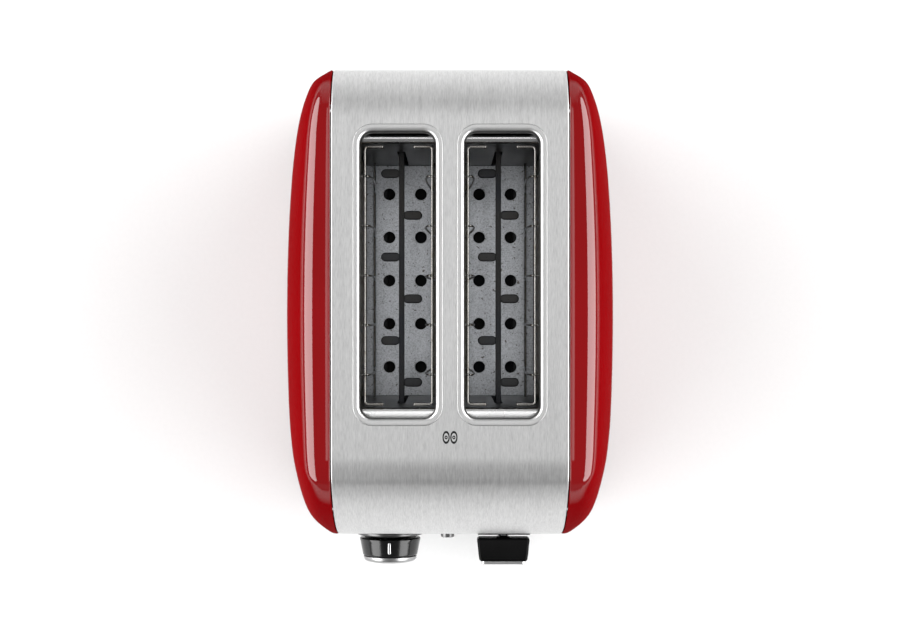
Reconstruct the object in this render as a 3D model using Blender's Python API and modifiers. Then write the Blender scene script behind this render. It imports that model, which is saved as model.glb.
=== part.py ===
"""Two-slice pop-up toaster with wide slots, as separate named pieces.

Frame: metres, +Z up, origin on the table under the middle of the body.
The controls face -Y, the crumb tray leaves towards +Y, X runs across the slots.
At rest the lever is up, the bread racks are raised and the guard cages are open.
"""
import math

import bmesh
import bpy
from mathutils import Matrix, Vector

# ---------------------------------------------------------------- overall sizes
OVERALL_DEPTH = 0.275        # rear wall to the face of the browning knob
OVERALL_HEIGHT = 0.200       # table to the flat top
OVERALL_WIDTH = 0.179        # across the bulges of the two side covers
CONTROL_REACH = 0.0222       # how far the knob face stands ahead of the front wall
GAP = 0.0003                 # between pieces that touch
CLEARANCE = 0.0008           # round pieces that move past each other

# ---------------------------------------------------------------- steel outer wrap
SHEET = 0.001
REAR_ROLL = 0.034            # radius between the rear wall and the top
NOSE_FLAT_BACK = 0.0493      # the flat top ends this far behind the front wall
NOSE_ROLL_RUN = 0.013        # gentle roll from the flat top to the crease
NOSE_ROLL_DROP = 0.0025
NOSE_HEIGHT = 0.0985         # below this depth under the top the front wall is upright
SLOT_WIDTH = 0.0389
SLOT_BRIDGE = 0.0151         # between the two bread slots
SLOT_BORDER = 0.01505        # from a slot to the side edge of the wrap
SLOT_LENGTH = 0.148
SLOT_Y = 0.028               # middle of the slots, behind the origin
SLOT_CORNER = 0.0065
LIP_WIDTH = 0.004            # rolled border round each slot
LIP_DEPTH = 0.012            # how far the border's collar reaches down
LIP_STEP = 0.00015           # border's outer edge under the flat top
LIP_FLANGE = 0.001           # flat outer rim of the border, welded to the sheet
LIP_WALL = 0.0007

# ---------------------------------------------------------------- side covers
SEAM_GAP = 0.0005            # shadow line between the wrap and each cover
COVER_WALL = 0.002
BULGE_REACH = 0.116          # distance from the edge at which the bulge is full
BULGE_POWER = 0.288          # roundness of the bulge near the edge
SPINE_DROP = 0.100           # the covers' centre point lies this far under the top

# ---------------------------------------------------------------- base, feet and tray
FOOT_HEIGHT = 0.0085
FOOT_RADIUS = 0.009
FOOT_SIDE_INSET = 0.0115     # from the side edges of the wrap
FOOT_INSET = 0.024           # from the front and rear walls
BASE_THICKNESS = 0.0035
BASE_INSET = 0.0015
SCREW_RADIUS = 0.002
SCREW_HEAD_RADIUS = 0.0038
SCREW_HEAD = 0.0022
SCREW_LENGTH = 0.009
SCREW_SIDE_INSET = 0.008
SCREW_INSET = 0.041
TRAY_WIDTH = 0.080
TRAY_END_INSET = 0.0085      # tray stops this far behind the chamber's front wall
TRAY_HEIGHT = 0.009
TRAY_WALL = 0.0008
TRAY_FACE_HEIGHT = 0.0145
TRAY_FACE_THICKNESS = 0.004
TRAY_FLOOR_GAP = 0.0015
GRIP_WIDTH = 0.032
GRIP_HEIGHT = 0.007

# ---------------------------------------------------------------- toasting chamber
END_CLEARANCE = 0.0047       # chamber walls stand this far inside the slot ends
PLATE = 0.0012
FLANGE = 0.008               # bent top edge of the chamber's end walls
FLANGE_DROP = 0.0163         # top of the flange under the top of the toaster
DECK_DROP = 0.0135           # top of the deck plate under the top of the toaster
DECK = 0.001
DECK_OVERHANG = 0.010        # deck beyond the guide rod and the chamber's rear wall
DECK_MARGIN = 0.0021         # deck opening beyond the slot
SIDE_FRAME = 0.0012
SIDE_FRAME_INSET = 0.0017    # side frames behind the wrap's faces
FLOOR_Z = 0.030
GRILLE = 0.001
GRILLE_HOLE = 0.0034         # hole radius
GRILLE_HOLE_X = 0.0095       # holes either side of the middle of a slot
GRILLE_ROWS = 5
GRILLE_END = 0.0173          # last holes from the chamber walls
HEATER_BEHIND = 0.00395      # heater sheets beyond the sides of their slot
MICA = 0.0008
HEATER_TOP_DROP = 0.030
HEATER_BOTTOM = 0.044
HEATER_END_GAP = 0.0022
RIBBON_WIDTH = 0.0022
RIBBON_THICKNESS = 0.0004
RIBBON_RUNS = 9
RIBBON_MARGIN = 0.008
REFLECTOR_BEHIND = 0.0058    # reflectors beyond the outer heaters
REFLECTOR = 0.0006
REFLECTOR_FLANGE = 0.003

# ---------------------------------------------------------------- bread guard cages
GUARD_INSIDE = 0.00175       # long wires inside the sides of their slot
GUARD_WIRE = 0.0007          # wire radius
GUARD_TOP_DROP = 0.0175
PIVOT_Z = 0.048              # hinge wire of each cage
PIVOT_OVERHANG = 0.0026      # hinge wire beyond the chamber walls
GUARD_END_GAP = 0.0011       # cage wires to the chamber walls
GUARD_RETURN = 0.009         # bent ends of the long wire, towards the slot's middle
GUARD_RIBS = 5
GUARD_RIB_END = 0.0173       # last cross wires from the chamber walls
GUARD_BOW = 0.0036
GUARD_TIP = 0.0026

# ---------------------------------------------------------------- bread lift
RACK_DROP = 0.082            # top of the raised racks under the top of the toaster
RACK_BAR = 0.003
RACK_BAR_HEIGHT = 0.006
RACK_CLEARANCE = 0.001       # lowered racks over the grille
RACK_FINGER = 0.0115         # finger tips from the slot's middle
RACK_FINGER_WIDTH = 0.005
RACK_FINGER_THICKNESS = 0.0016
RACK_FINGERS = 6
RACK_FINGER_END = 0.01105    # last fingers from the chamber walls
RACK_OVERHANG = 0.0012
HIGH_LIFT = 0.012            # extra travel above rest, for small slices
CARRIAGE = 0.002
CARRIAGE_AHEAD = 0.0075      # carriage in front of the chamber's front wall
CARRIAGE_HEIGHT = 0.026
CARRIAGE_DROP = 0.010        # carriage reaches this far under the top of the racks
CARRIAGE_EDGE = 0.004        # carriage beyond the racks
ROD_RADIUS = 0.002
ROD_RUN_GAP = 0.0003
BUSHING_RADIUS = 0.0045
SPRING_RADIUS = 0.0034
SPRING_WIRE = 0.0005
SPRING_TURNS = 11
ARM = 0.003
ARM_HEIGHT = 0.006
LEVER_X = 0.030
LEVER_LOW_Z = 0.026          # middle of the lever when it is down
LEVER_WIDTH = 0.0296
LEVER_FRONT_WIDTH = 0.0263
LEVER_HEIGHT = 0.011
LEVER_DEPTH = 0.0130
LEVER_NECK = 0.0014          # free neck between the bezel and the lever
LEVER_STRIP = 0.0021
LEVER_STRIP_WIDTH = 0.0250
BEZEL_PROUD = 0.0012         # lever bezel ahead of the upright front wall
BEZEL_DEPTH = 0.0090
BEZEL_WIDTH = 0.0290
BEZEL_MARGIN = 0.0065        # bezel beyond the lever's slot
BEZEL_CORNER = 0.005

# ---------------------------------------------------------------- holding magnet
MAGNET_X = -0.016
MAGNET_SIZE = 0.0105
MAGNET_CORE = 0.0035
ARMATURE_SIZE = 0.014
ARMATURE_HEIGHT = 0.0026

# ---------------------------------------------------------------- front controls
KNOB_X = -0.0349
KNOB_Z = 0.067
KNOB_RADIUS = 0.01775
KNOB_TIP_RADIUS = 0.0156
KNOB_CAP = 0.0027
KNOB_CAP_RADIUS = 0.0125
KNOB_WALL = 0.0026
KNOB_HUB_RADIUS = 0.0058
DOME_DEPTH = 0.0058
DOME_RADIUS = 0.0178
RING_RADIUS = 0.0193
SHAFT_RADIUS = 0.003
SHAFT_HOLE_RADIUS = 0.0055
SHAFT_ENGAGED = 0.009
POT_RADIUS = 0.0085
POT_DEPTH = 0.006
BUTTON_X = -0.0013
BUTTON_TOP_Z = 0.100
BUTTON_PITCH = 0.0165
BUTTONS = 4
BUTTON_RADIUS = 0.0038
BUTTON_PROUD = 0.0032        # button faces ahead of the front wall
BUTTON_TRAVEL = 0.0015
STEM_RADIUS = 0.0016
PANEL_WIDTH = 0.0125
PANEL_PROUD = 0.0006
PANEL_DEPTH = 0.006
BOARD_BEHIND = 0.0115        # control board behind the front wall's face
BOARD = 0.0016
BOARD_MARGIN = 0.006
GLAND_SIDE_INSET = 0.0115    # from the side edge of the wrap
GLAND_Z = 0.024
GLAND_RADIUS = 0.006
GLAND_BORE = 0.0034
GLAND_DEPTH = 0.008
TERMINAL_SIZE = (0.016, 0.012, 0.010)

# ---------------------------------------------------------------- derived places
REAR_Y = OVERALL_DEPTH / 2
FRONT_Y = -OVERALL_DEPTH / 2 + CONTROL_REACH
TOP_Z = OVERALL_HEIGHT
BASE_Z = FOOT_HEIGHT + GAP
BASE_TOP_Z = BASE_Z + BASE_THICKNESS
SKIRT_Z = BASE_TOP_Z + GAP
SLOT_X = (SLOT_BRIDGE + SLOT_WIDTH) / 2
WRAP_X = SLOT_X + SLOT_WIDTH / 2 + SLOT_BORDER
SEAM_X = WRAP_X + SEAM_GAP
COVER_BULGE = OVERALL_WIDTH / 2 - SEAM_X
HEATER_OFFSET = SLOT_WIDTH / 2 + HEATER_BEHIND
REFLECTOR_X = SLOT_X + HEATER_OFFSET + REFLECTOR_BEHIND
GUARD_OFFSET = SLOT_WIDTH / 2 - GUARD_INSIDE
FOOT_X = WRAP_X - FOOT_SIDE_INSET
SCREW_X = WRAP_X - SCREW_SIDE_INSET
GLAND_X = WRAP_X - GLAND_SIDE_INSET
NOSE_Z = TOP_Z - NOSE_HEIGHT
SPINE_Y = (REAR_Y + FRONT_Y) / 2
SPINE_Z = TOP_Z - SPINE_DROP
FRONT_WALL_Y = SLOT_Y - SLOT_LENGTH / 2 + END_CLEARANCE     # chamber's inner faces
REAR_WALL_Y = SLOT_Y + SLOT_LENGTH / 2 - END_CLEARANCE
CHAMBER_Y = (FRONT_WALL_Y + REAR_WALL_Y) / 2
TRAY_REAR_Y = REAR_Y - TRAY_FACE_THICKNESS - GAP
TRAY_LENGTH = TRAY_REAR_Y - FRONT_WALL_Y - TRAY_END_INSET
FLANGE_Z = TOP_Z - FLANGE_DROP
DECK_Z = TOP_Z - DECK_DROP
FRAME_X = WRAP_X - SIDE_FRAME_INSET
INNER_X = FRAME_X - SIDE_FRAME - GAP
PIVOT_HOLE = GUARD_WIRE + CLEARANCE / 2
RACK_Z = TOP_Z - RACK_DROP
RACK_BAR_Z = RACK_Z - RACK_BAR_HEIGHT
LIFT_TRAVEL = RACK_BAR_Z - (FLOOR_Z + GRILLE) - RACK_CLEARANCE
CARRIAGE_Y = FRONT_WALL_Y - PLATE - CARRIAGE_AHEAD
CARRIAGE_LOW_Z = RACK_Z - CARRIAGE_DROP
ROD_Y = CARRIAGE_Y - CARRIAGE / 2 - GAP - BUSHING_RADIUS
LEVER_Z = LEVER_LOW_Z + LIFT_TRAVEL
BEZEL_Y = FRONT_Y - BEZEL_PROUD
LEVER_BACK_Y = BEZEL_Y - LEVER_NECK
LEVER_SLOT_LOW = LEVER_LOW_Z - ARM_HEIGHT / 2 - CLEARANCE
LEVER_SLOT_HIGH = LEVER_Z + HIGH_LIFT + ARM_HEIGHT / 2 + CLEARANCE
BEZEL_LOW = LEVER_SLOT_LOW - BEZEL_MARGIN
BEZEL_HIGH = LEVER_SLOT_HIGH + BEZEL_MARGIN
ARMATURE_Z = CARRIAGE_LOW_Z - GAP - ARMATURE_HEIGHT / 2
MAGNET_TOP_Z = ARMATURE_Z - ARMATURE_HEIGHT / 2 - LIFT_TRAVEL - GAP
KNOB_BACK_Y = FRONT_Y - GAP - DOME_DEPTH - CLEARANCE
KNOB_FACE_Y = -OVERALL_DEPTH / 2
KNOB_CAP_Y = KNOB_FACE_Y + KNOB_CAP
BOARD_Y = FRONT_Y + BOARD_BEHIND
BUTTON_LOW_Z = BUTTON_TOP_Z - BUTTON_PITCH * (BUTTONS - 1)
BUTTON_FACE_Y = FRONT_Y - BUTTON_PROUD

CORNER_STEPS = 4
ROUND_STEPS = 20

COLOURS = {
    "steel": ((0.62, 0.62, 0.61), 0.32, 1.0),
    "red": ((0.38, 0.001, 0.002), 0.12, 0.0),
    "galvanised": ((0.42, 0.43, 0.44), 0.45, 1.0),
    "dark_steel": ((0.07, 0.07, 0.075), 0.35, 0.8),
    "bright_wire": ((0.75, 0.73, 0.68), 0.22, 1.0),
    "mica": ((0.33, 0.27, 0.19), 0.70, 0.0),
    "nichrome": ((0.25, 0.23, 0.22), 0.40, 1.0),
    "black": ((0.008, 0.008, 0.009), 0.28, 0.0),
    "satin": ((0.55, 0.55, 0.56), 0.25, 1.0),
    "rubber": ((0.015, 0.015, 0.015), 0.80, 0.0),
    "board": ((0.05, 0.16, 0.05), 0.55, 0.0),
    "copper": ((0.60, 0.25, 0.10), 0.35, 1.0),
}

PARTS = None
CUTTERS = None


# ---------------------------------------------------------------- scene and helpers
def clear_scene():
    """Empty the scene and make the two collections."""
    global PARTS, CUTTERS
    for old in list(bpy.data.objects):
        bpy.data.objects.remove(old, do_unlink=True)
    PARTS = bpy.data.collections.new("pop_up_toaster")
    CUTTERS = bpy.data.collections.new("cutters")
    bpy.context.scene.collection.children.link(PARTS)
    bpy.context.scene.collection.children.link(CUTTERS)


def material(name, finish):
    """A Principled material of one finish for one piece."""
    colour, roughness, metallic = COLOURS[finish]
    made = bpy.data.materials.new(name)
    made.use_nodes = True
    shader = made.node_tree.nodes["Principled BSDF"]
    shader.inputs["Base Color"].default_value = (*colour, 1.0)
    shader.inputs["Roughness"].default_value = roughness
    shader.inputs["Metallic"].default_value = metallic
    return made


def add_object(name, mesh, finish=None, matrix=None):
    """Put a mesh in the scene: a part when it has a finish, otherwise a cutter."""
    made = bpy.data.objects.new(name, mesh)
    if matrix is not None:
        made.matrix_world = matrix
    if finish is None:
        CUTTERS.objects.link(made)
        made.hide_render = True
        made.display_type = "WIRE"
    else:
        PARTS.objects.link(made)
        mesh.materials.clear()
        mesh.materials.append(material(name, finish))
        mesh.shade_smooth()
        mesh.set_sharp_from_angle(angle=math.radians(32))
    return made


def mesh_from(build):
    """A mesh made by a function that fills a bmesh."""
    mesh = bpy.data.meshes.new("mesh")
    bm = bmesh.new()
    build(bm)
    bm.to_mesh(mesh)
    bm.free()
    return mesh


def box_mesh(size, centre):
    """A box mesh of the given size about a centre."""
    def build(bm):
        bmesh.ops.create_cube(bm, size=1.0)
        bmesh.ops.scale(bm, vec=size, verts=bm.verts)
        bmesh.ops.translate(bm, vec=centre, verts=bm.verts)
    return mesh_from(build)


def box(name, size, centre, finish=None, bevel=0.0):
    """A box, with its edges rounded where a bevel is given."""
    made = add_object(name, box_mesh(size, centre), finish)
    if bevel:
        add_bevel(made, bevel)
    return made


def cylinder(name, radius, start, end, finish=None, steps=ROUND_STEPS, end_radius=None):
    """A round bar or cone from one point to another."""
    start, end = Vector(start), Vector(end)
    along = end - start

    def build(bm):
        bmesh.ops.create_cone(
            bm, cap_ends=True, segments=steps, radius1=radius,
            radius2=radius if end_radius is None else end_radius, depth=along.length)
        turn = Vector((0, 0, 1)).rotation_difference(along.normalized()).to_matrix()
        bmesh.ops.rotate(bm, matrix=turn, verts=bm.verts)
        bmesh.ops.translate(bm, vec=(start + end) / 2, verts=bm.verts)
    return add_object(name, mesh_from(build), finish)


def from_curve(name, curve, finish, matrix=None):
    """Turn a curve into a welded mesh object and drop the curve."""
    holder = bpy.data.objects.new(name + "_curve", curve)
    bpy.context.scene.collection.objects.link(holder)
    if matrix is not None:
        holder.matrix_world = matrix
    bpy.context.view_layer.update()
    evaluated = holder.evaluated_get(bpy.context.evaluated_depsgraph_get())
    mesh = bpy.data.meshes.new_from_object(evaluated)
    mesh.transform(holder.matrix_world)
    bm = bmesh.new()
    bm.from_mesh(mesh)
    bmesh.ops.remove_doubles(bm, verts=bm.verts, dist=0.000005)
    bmesh.ops.recalc_face_normals(bm, faces=bm.faces)
    bm.to_mesh(mesh)
    bm.free()
    bpy.data.objects.remove(holder, do_unlink=True)
    bpy.data.curves.remove(curve)
    return add_object(name, mesh, finish)


def wire(name, points, radius, finish=None, resolution=1):
    """A round wire with filled ends along a list of points."""
    curve = bpy.data.curves.new(name, "CURVE")
    curve.dimensions = "3D"
    curve.bevel_depth = radius
    curve.bevel_resolution = resolution
    curve.use_fill_caps = True
    spline = curve.splines.new("POLY")
    spline.points.add(len(points) - 1)
    for point, place in zip(spline.points, points):
        point.co = (*place, 1.0)
    return from_curve(name, curve, finish)


PLANES = {
    "XY": Matrix.Identity(4),
    "XZ": Matrix(((1, 0, 0, 0), (0, 0, -1, 0), (0, 1, 0, 0), (0, 0, 0, 1))),
    "YZ": Matrix(((0, 0, 1, 0), (1, 0, 0, 0), (0, 1, 0, 0), (0, 0, 0, 1))),
}


def extruded(name, loops, plane, low, high, finish=None):
    """A flat outline, with holes, extruded between two places along its plane's normal."""
    curve = bpy.data.curves.new(name, "CURVE")
    curve.dimensions = "2D"
    curve.fill_mode = "BOTH"
    curve.extrude = (high - low) / 2
    for loop in loops:
        spline = curve.splines.new("POLY")
        spline.points.add(len(loop) - 1)
        for point, (u, v) in zip(spline.points, loop):
            point.co = (u, v, 0.0, 1.0)
        spline.use_cyclic_u = True
    middle = (high + low) / 2
    shift = {"XY": (0, 0, middle), "XZ": (0, middle, 0), "YZ": (middle, 0, 0)}[plane]
    return from_curve(name, curve, finish, Matrix.Translation(shift) @ PLANES[plane])


def turned(name, profile, place, finish, steps=ROUND_STEPS, closed=False):
    """A (radius, forward) profile, up its outer side, turned about the -Y axis through a place.

    An open profile starts and ends on the axis; a closed one stays clear of it.
    """
    def build(bm):
        verts = [bm.verts.new((radius, 0, forward)) for radius, forward in reversed(profile)]
        for first, second in zip(verts, verts[1:] + (verts[:1] if closed else [])):
            bm.edges.new((first, second))
    made = add_object(name, mesh_from(build), finish)
    made.matrix_world = Matrix.Translation(place) @ Matrix.Rotation(math.pi / 2, 4, "X")
    screw = made.modifiers.new("turn", "SCREW")
    screw.axis = "Z"
    screw.angle = 2 * math.pi
    screw.steps = screw.render_steps = steps
    screw.use_merge_vertices = True
    screw.merge_threshold = 0.00001
    return made


def add_bevel(made, width, segments=1):
    """Round or chamfer a piece's edges."""
    bevel = made.modifiers.new("soften", "BEVEL")
    bevel.width = width
    bevel.segments = segments
    bevel.limit_method = "ANGLE"
    bevel.angle_limit = math.radians(40)


def combine(made, other, operation):
    """Boolean another object, kept among the cutters, into or out of a piece."""
    if other.name in PARTS.objects:
        PARTS.objects.unlink(other)
        CUTTERS.objects.link(other)
        other.hide_render = True
        other.display_type = "WIRE"
    step = made.modifiers.new(operation.lower(), "BOOLEAN")
    step.operation = operation
    step.solver = "EXACT"
    step.object = other


def cut(made, *cutters):
    """Cut every cutter out of a piece."""
    for cutter in cutters:
        combine(made, cutter, "DIFFERENCE")


def unite(made, *others):
    """Join every other solid to a piece."""
    for other in others:
        combine(made, other, "UNION")


def rounded(x0, x1, y0, y1, radius, steps=CORNER_STEPS):
    """Counter-clockwise points of a rectangle with round corners."""
    points = []
    corners = ((x1 - radius, y1 - radius, 0), (x0 + radius, y1 - radius, 90),
               (x0 + radius, y0 + radius, 180), (x1 - radius, y0 + radius, 270))
    for cx, cy, start in corners:
        for step in range(steps + 1):
            angle = math.radians(start + 90 * step / steps)
            points.append((cx + radius * math.cos(angle), cy + radius * math.sin(angle)))
    return points


def circle(cx, cy, radius, steps=12):
    """Points round a circle."""
    return [(cx + radius * math.cos(2 * math.pi * k / steps),
             cy + radius * math.sin(2 * math.pi * k / steps)) for k in range(steps)]


def spread(count, margin):
    """Even places along the chamber, the first and last a margin inside its end walls."""
    low, high = FRONT_WALL_Y + margin, REAR_WALL_Y - margin
    return [low + (high - low) * step / (count - 1) for step in range(count)]


def axis_empty(name, place):
    """An empty on a joint's axis, for the pieces that move with it."""
    empty = bpy.data.objects.new(name, None)
    empty.location = place
    PARTS.objects.link(empty)
    return empty


def hang_on(empty, *pieces):
    """Parent pieces to an empty without moving them."""
    for piece in pieces:
        piece.parent = empty
        piece.matrix_parent_inverse = Matrix.Translation(empty.location).inverted()


# ---------------------------------------------------------------- body outline
def body_outline(inset=0.0, bottom=SKIRT_Z):
    """(y, z) points of the body's outline from the rear foot over the top to the front."""
    rear, front, top = REAR_Y - inset, FRONT_Y + inset, TOP_Z - inset
    roll = REAR_ROLL - inset
    walls = [bottom, bottom + 0.002, bottom + (SPINE_Z - bottom) / 2, SPINE_Z]
    points = [(rear, z) for z in walls]
    for step in range(8):
        angle = math.radians(90 * step / 7)
        points.append((rear - roll + roll * math.cos(angle), top - roll + roll * math.sin(angle)))
    flat_end = FRONT_Y + NOSE_FLAT_BACK
    for step in range(1, 5):
        points.append((rear - roll + (flat_end - rear + roll) * step / 4, top))
    for step in (1, 2):
        share = step / 2
        points.append((flat_end - NOSE_ROLL_RUN * share, top - NOSE_ROLL_DROP * share ** 2))
    points += nose_curve(front, points[-1])
    points += [(front, z) for z in reversed(walls)]
    return points


def nose_curve(front, crease, steps=8):
    """Convex curve from the crease down to the upright front wall."""
    start, end = Vector(crease), Vector((front, NOSE_Z))
    run, fall = start.x - end.x, start.y - end.y
    handles = (start, start + Vector((-0.52 * run, -0.16 * fall)), end + Vector((0, 0.52 * fall)), end)
    points = []
    for step in range(1, steps + 1):
        t = step / steps
        weights = ((1 - t) ** 3, 3 * t * (1 - t) ** 2, 3 * t * t * (1 - t), t ** 3)
        place = sum((w * h for w, h in zip(weights, handles)), Vector((0, 0)))
        points.append((place.x, place.y))
    return points


def distance_to_outline(y, z, outline):
    """Shortest distance from a point to the body's outline."""
    place = Vector((y, z))
    best = 1.0
    for a, b in zip(outline, outline[1:]):
        a, b = Vector(a), Vector(b)
        share = max(0.0, min(1.0, (place - a).dot(b - a) / (b - a).length_squared))
        best = min(best, (place - a - share * (b - a)).length)
    return best


def bulge(distance):
    """Half width of the body at a distance inside its outline."""
    share = 1 - min(max(distance, 0.0), BULGE_REACH) / BULGE_REACH
    return SEAM_X + COVER_BULGE * (1 - share * share) ** BULGE_POWER


def plan_outline(inset):
    """The whole body's outline in plan at table height, drawn in by an inset."""
    steps = 14
    rear, front = REAR_Y - inset, FRONT_Y + inset
    right = []
    for step in range(steps + 1):
        y = front + (rear - front) * (1 - math.cos(math.pi * step / steps)) / 2
        depth = min(REAR_Y - y, y - FRONT_Y) - inset
        right.append((bulge(depth) - inset, y))
    return right + [(-x, y) for x, y in reversed(right)]


# ---------------------------------------------------------------- outer casing
def slot_lips():
    """Rolled borders of both slots: the sheet turned down into collars."""
    rim_z = TOP_Z - LIP_STEP
    roll = LIP_WIDTH - LIP_FLANGE
    radii = [(LIP_WIDTH, rim_z)]
    for step in range(CORNER_STEPS + 1):
        angle = math.radians(90 * step / CORNER_STEPS)
        radii.append((roll * (1 - math.sin(angle)), rim_z - roll * (1 - math.cos(angle))))
    radii += [(0.0, TOP_Z - LIP_DEPTH), (LIP_WALL, TOP_Z - LIP_DEPTH), (LIP_WALL, rim_z - roll - LIP_WALL / 2),
              (roll, rim_z - LIP_WALL), (LIP_WIDTH, rim_z - LIP_WALL)]

    def build(bm):
        for side in (-1, 1):
            rings = [[bm.verts.new((x, y, z)) for x, y in slot_loop(side, out)] for out, z in radii]
            for ring, following in zip(rings, rings[1:] + rings[:1]):
                for k in range(len(ring)):
                    n = (k + 1) % len(ring)
                    bm.faces.new((ring[k], following[k], following[n], ring[n]))
        bmesh.ops.recalc_face_normals(bm, faces=bm.faces)
    return add_object("slot_lips", mesh_from(build))


def slot_loop(side, out):
    """Outline of one bread slot, grown by a distance on all sides."""
    x0, x1 = side * SLOT_X - SLOT_WIDTH / 2, side * SLOT_X + SLOT_WIDTH / 2
    y0, y1 = SLOT_Y - SLOT_LENGTH / 2, SLOT_Y + SLOT_LENGTH / 2
    return rounded(x0 - out, x1 + out, y0 - out, y1 + out, SLOT_CORNER + out)


def make_wrap():
    """Brushed steel sheet bent over the rear, top and front, with two rolled slots."""
    outline = body_outline()

    def build(bm):
        left = [bm.verts.new((-WRAP_X, y, z)) for y, z in outline]
        right = [bm.verts.new((WRAP_X, y, z)) for y, z in outline]
        for k in range(len(outline) - 1):
            bm.faces.new((left[k], left[k + 1], right[k + 1], right[k]))
    wrap = add_object("outer_wrap", mesh_from(build), "steel")
    solid = wrap.modifiers.new("sheet", "SOLIDIFY")
    solid.thickness = SHEET
    solid.offset = -1.0
    solid.use_even_offset = True
    hem = LIP_WIDTH - LIP_FLANGE / 2
    openings = [slot_loop(side, hem) for side in (-1, 1)]
    cut(wrap, extruded("slot_cutter", openings, "XY", TOP_Z - 0.01, TOP_Z + 0.01))
    half = BEZEL_WIDTH / 2 + GAP
    lever_hole = rounded(LEVER_X - half, LEVER_X + half, BEZEL_LOW - GAP, BEZEL_HIGH + GAP,
                         BEZEL_CORNER + GAP)
    cut(wrap, extruded("lever_hole_cutter", [lever_hole], "XZ", FRONT_Y - 0.01, FRONT_Y + 0.03))
    cut(wrap, extruded("panel_hole_cutter", [panel_outline(GAP)], "XZ", FRONT_Y - 0.01, FRONT_Y + 0.02))
    cut(wrap, cylinder("shaft_hole_cutter", SHAFT_HOLE_RADIUS, (KNOB_X, FRONT_Y - 0.01, KNOB_Z),
                       (KNOB_X, FRONT_Y + 0.01, KNOB_Z)))
    face = TRAY_FACE_HEIGHT + 2 * CLEARANCE
    cut(wrap, box("tray_hole_cutter", (TRAY_WIDTH + 2 * CLEARANCE, 0.02, face + 0.01),
                  (0, REAR_Y, SKIRT_Z + (face - 0.01) / 2)))
    cut(wrap, cylinder("gland_hole_cutter", GLAND_RADIUS + GAP, (GLAND_X, REAR_Y - 0.01, GLAND_Z),
                       (GLAND_X, REAR_Y + 0.01, GLAND_Z)))
    unite(wrap, slot_lips())


def make_side_cover(name, side):
    """Bulged cast cover lofted from the body's outline in to a centre spine."""
    outline = body_outline()
    rings = 10
    shares = [(k / rings) ** 3.2 for k in range(rings + 1)]

    def build(bm):
        rows = [[bm.verts.new((side * SEAM_X, y, z)) for y, z in outline]]
        for share in shares[1:]:
            row = []
            for y, z in outline:
                to_y, to_z = SPINE_Y, min(z, SPINE_Z)
                py, pz = y + (to_y - y) * share, z + (to_z - z) * share
                half = bulge(distance_to_outline(py, pz, outline))
                row.append(bm.verts.new((side * half, py, pz)))
            rows.append(row)
        for row, following in zip(rows, rows[1:]):
            for k in range(len(outline) - 1):
                bm.faces.new((row[k], following[k], following[k + 1], row[k + 1]))
        bmesh.ops.remove_doubles(bm, verts=bm.verts, dist=0.00001)
        bmesh.ops.dissolve_degenerate(bm, edges=bm.edges, dist=0.000001)
        if side > 0:
            bmesh.ops.reverse_faces(bm, faces=bm.faces)
        bm.normal_update()
    cover = add_object(name, mesh_from(build), "red")
    solid = cover.modifiers.new("casting", "SOLIDIFY")
    solid.thickness = COVER_WALL
    solid.offset = -1.0
    solid.use_even_offset = False


def make_side_frame(name, side):
    """Flat inner plate behind each seam that carries the wrap and the cover."""
    outline = body_outline(SHEET + 2 * GAP, SKIRT_Z + GAP)
    low = side * FRAME_X - SIDE_FRAME * (side > 0)
    extruded(name, [outline], "YZ", low, low + SIDE_FRAME, "dark_steel")


# ---------------------------------------------------------------- base, feet and tray
def make_base():
    """Base plate under the covers, with its screws and rubber feet."""
    spots = [(sx * SCREW_X, y) for sx in (-1, 1) for y in (FRONT_Y + SCREW_INSET, REAR_Y - SCREW_INSET)]
    holes = [circle(x, y, SCREW_RADIUS + GAP) for x, y in spots]
    extruded("base_plate", [plan_outline(BASE_INSET)] + holes, "XY", BASE_Z, BASE_TOP_Z, "black")
    for number, (x, y) in enumerate(spots, 1):
        head_top = BASE_Z - GAP
        screw = cylinder(f"base_screw_{number}", SCREW_RADIUS, (x, y, head_top - 0.0002),
                         (x, y, head_top + SCREW_LENGTH), "satin", 10)
        unite(screw, cylinder("screw_head", SCREW_HEAD_RADIUS * 0.8, (x, y, head_top - SCREW_HEAD),
                              (x, y, head_top), None, 12, SCREW_HEAD_RADIUS))
    places = [(-FOOT_X, FRONT_Y + FOOT_INSET), (FOOT_X, FRONT_Y + FOOT_INSET),
              (-FOOT_X, REAR_Y - FOOT_INSET), (FOOT_X, REAR_Y - FOOT_INSET)]
    for number, (x, y) in enumerate(places, 1):
        foot = cylinder(f"foot_{number}", FOOT_RADIUS * 0.86, (x, y, 0), (x, y, FOOT_HEIGHT),
                        "rubber", 16, FOOT_RADIUS)
        add_bevel(foot, 0.0008)


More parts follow.
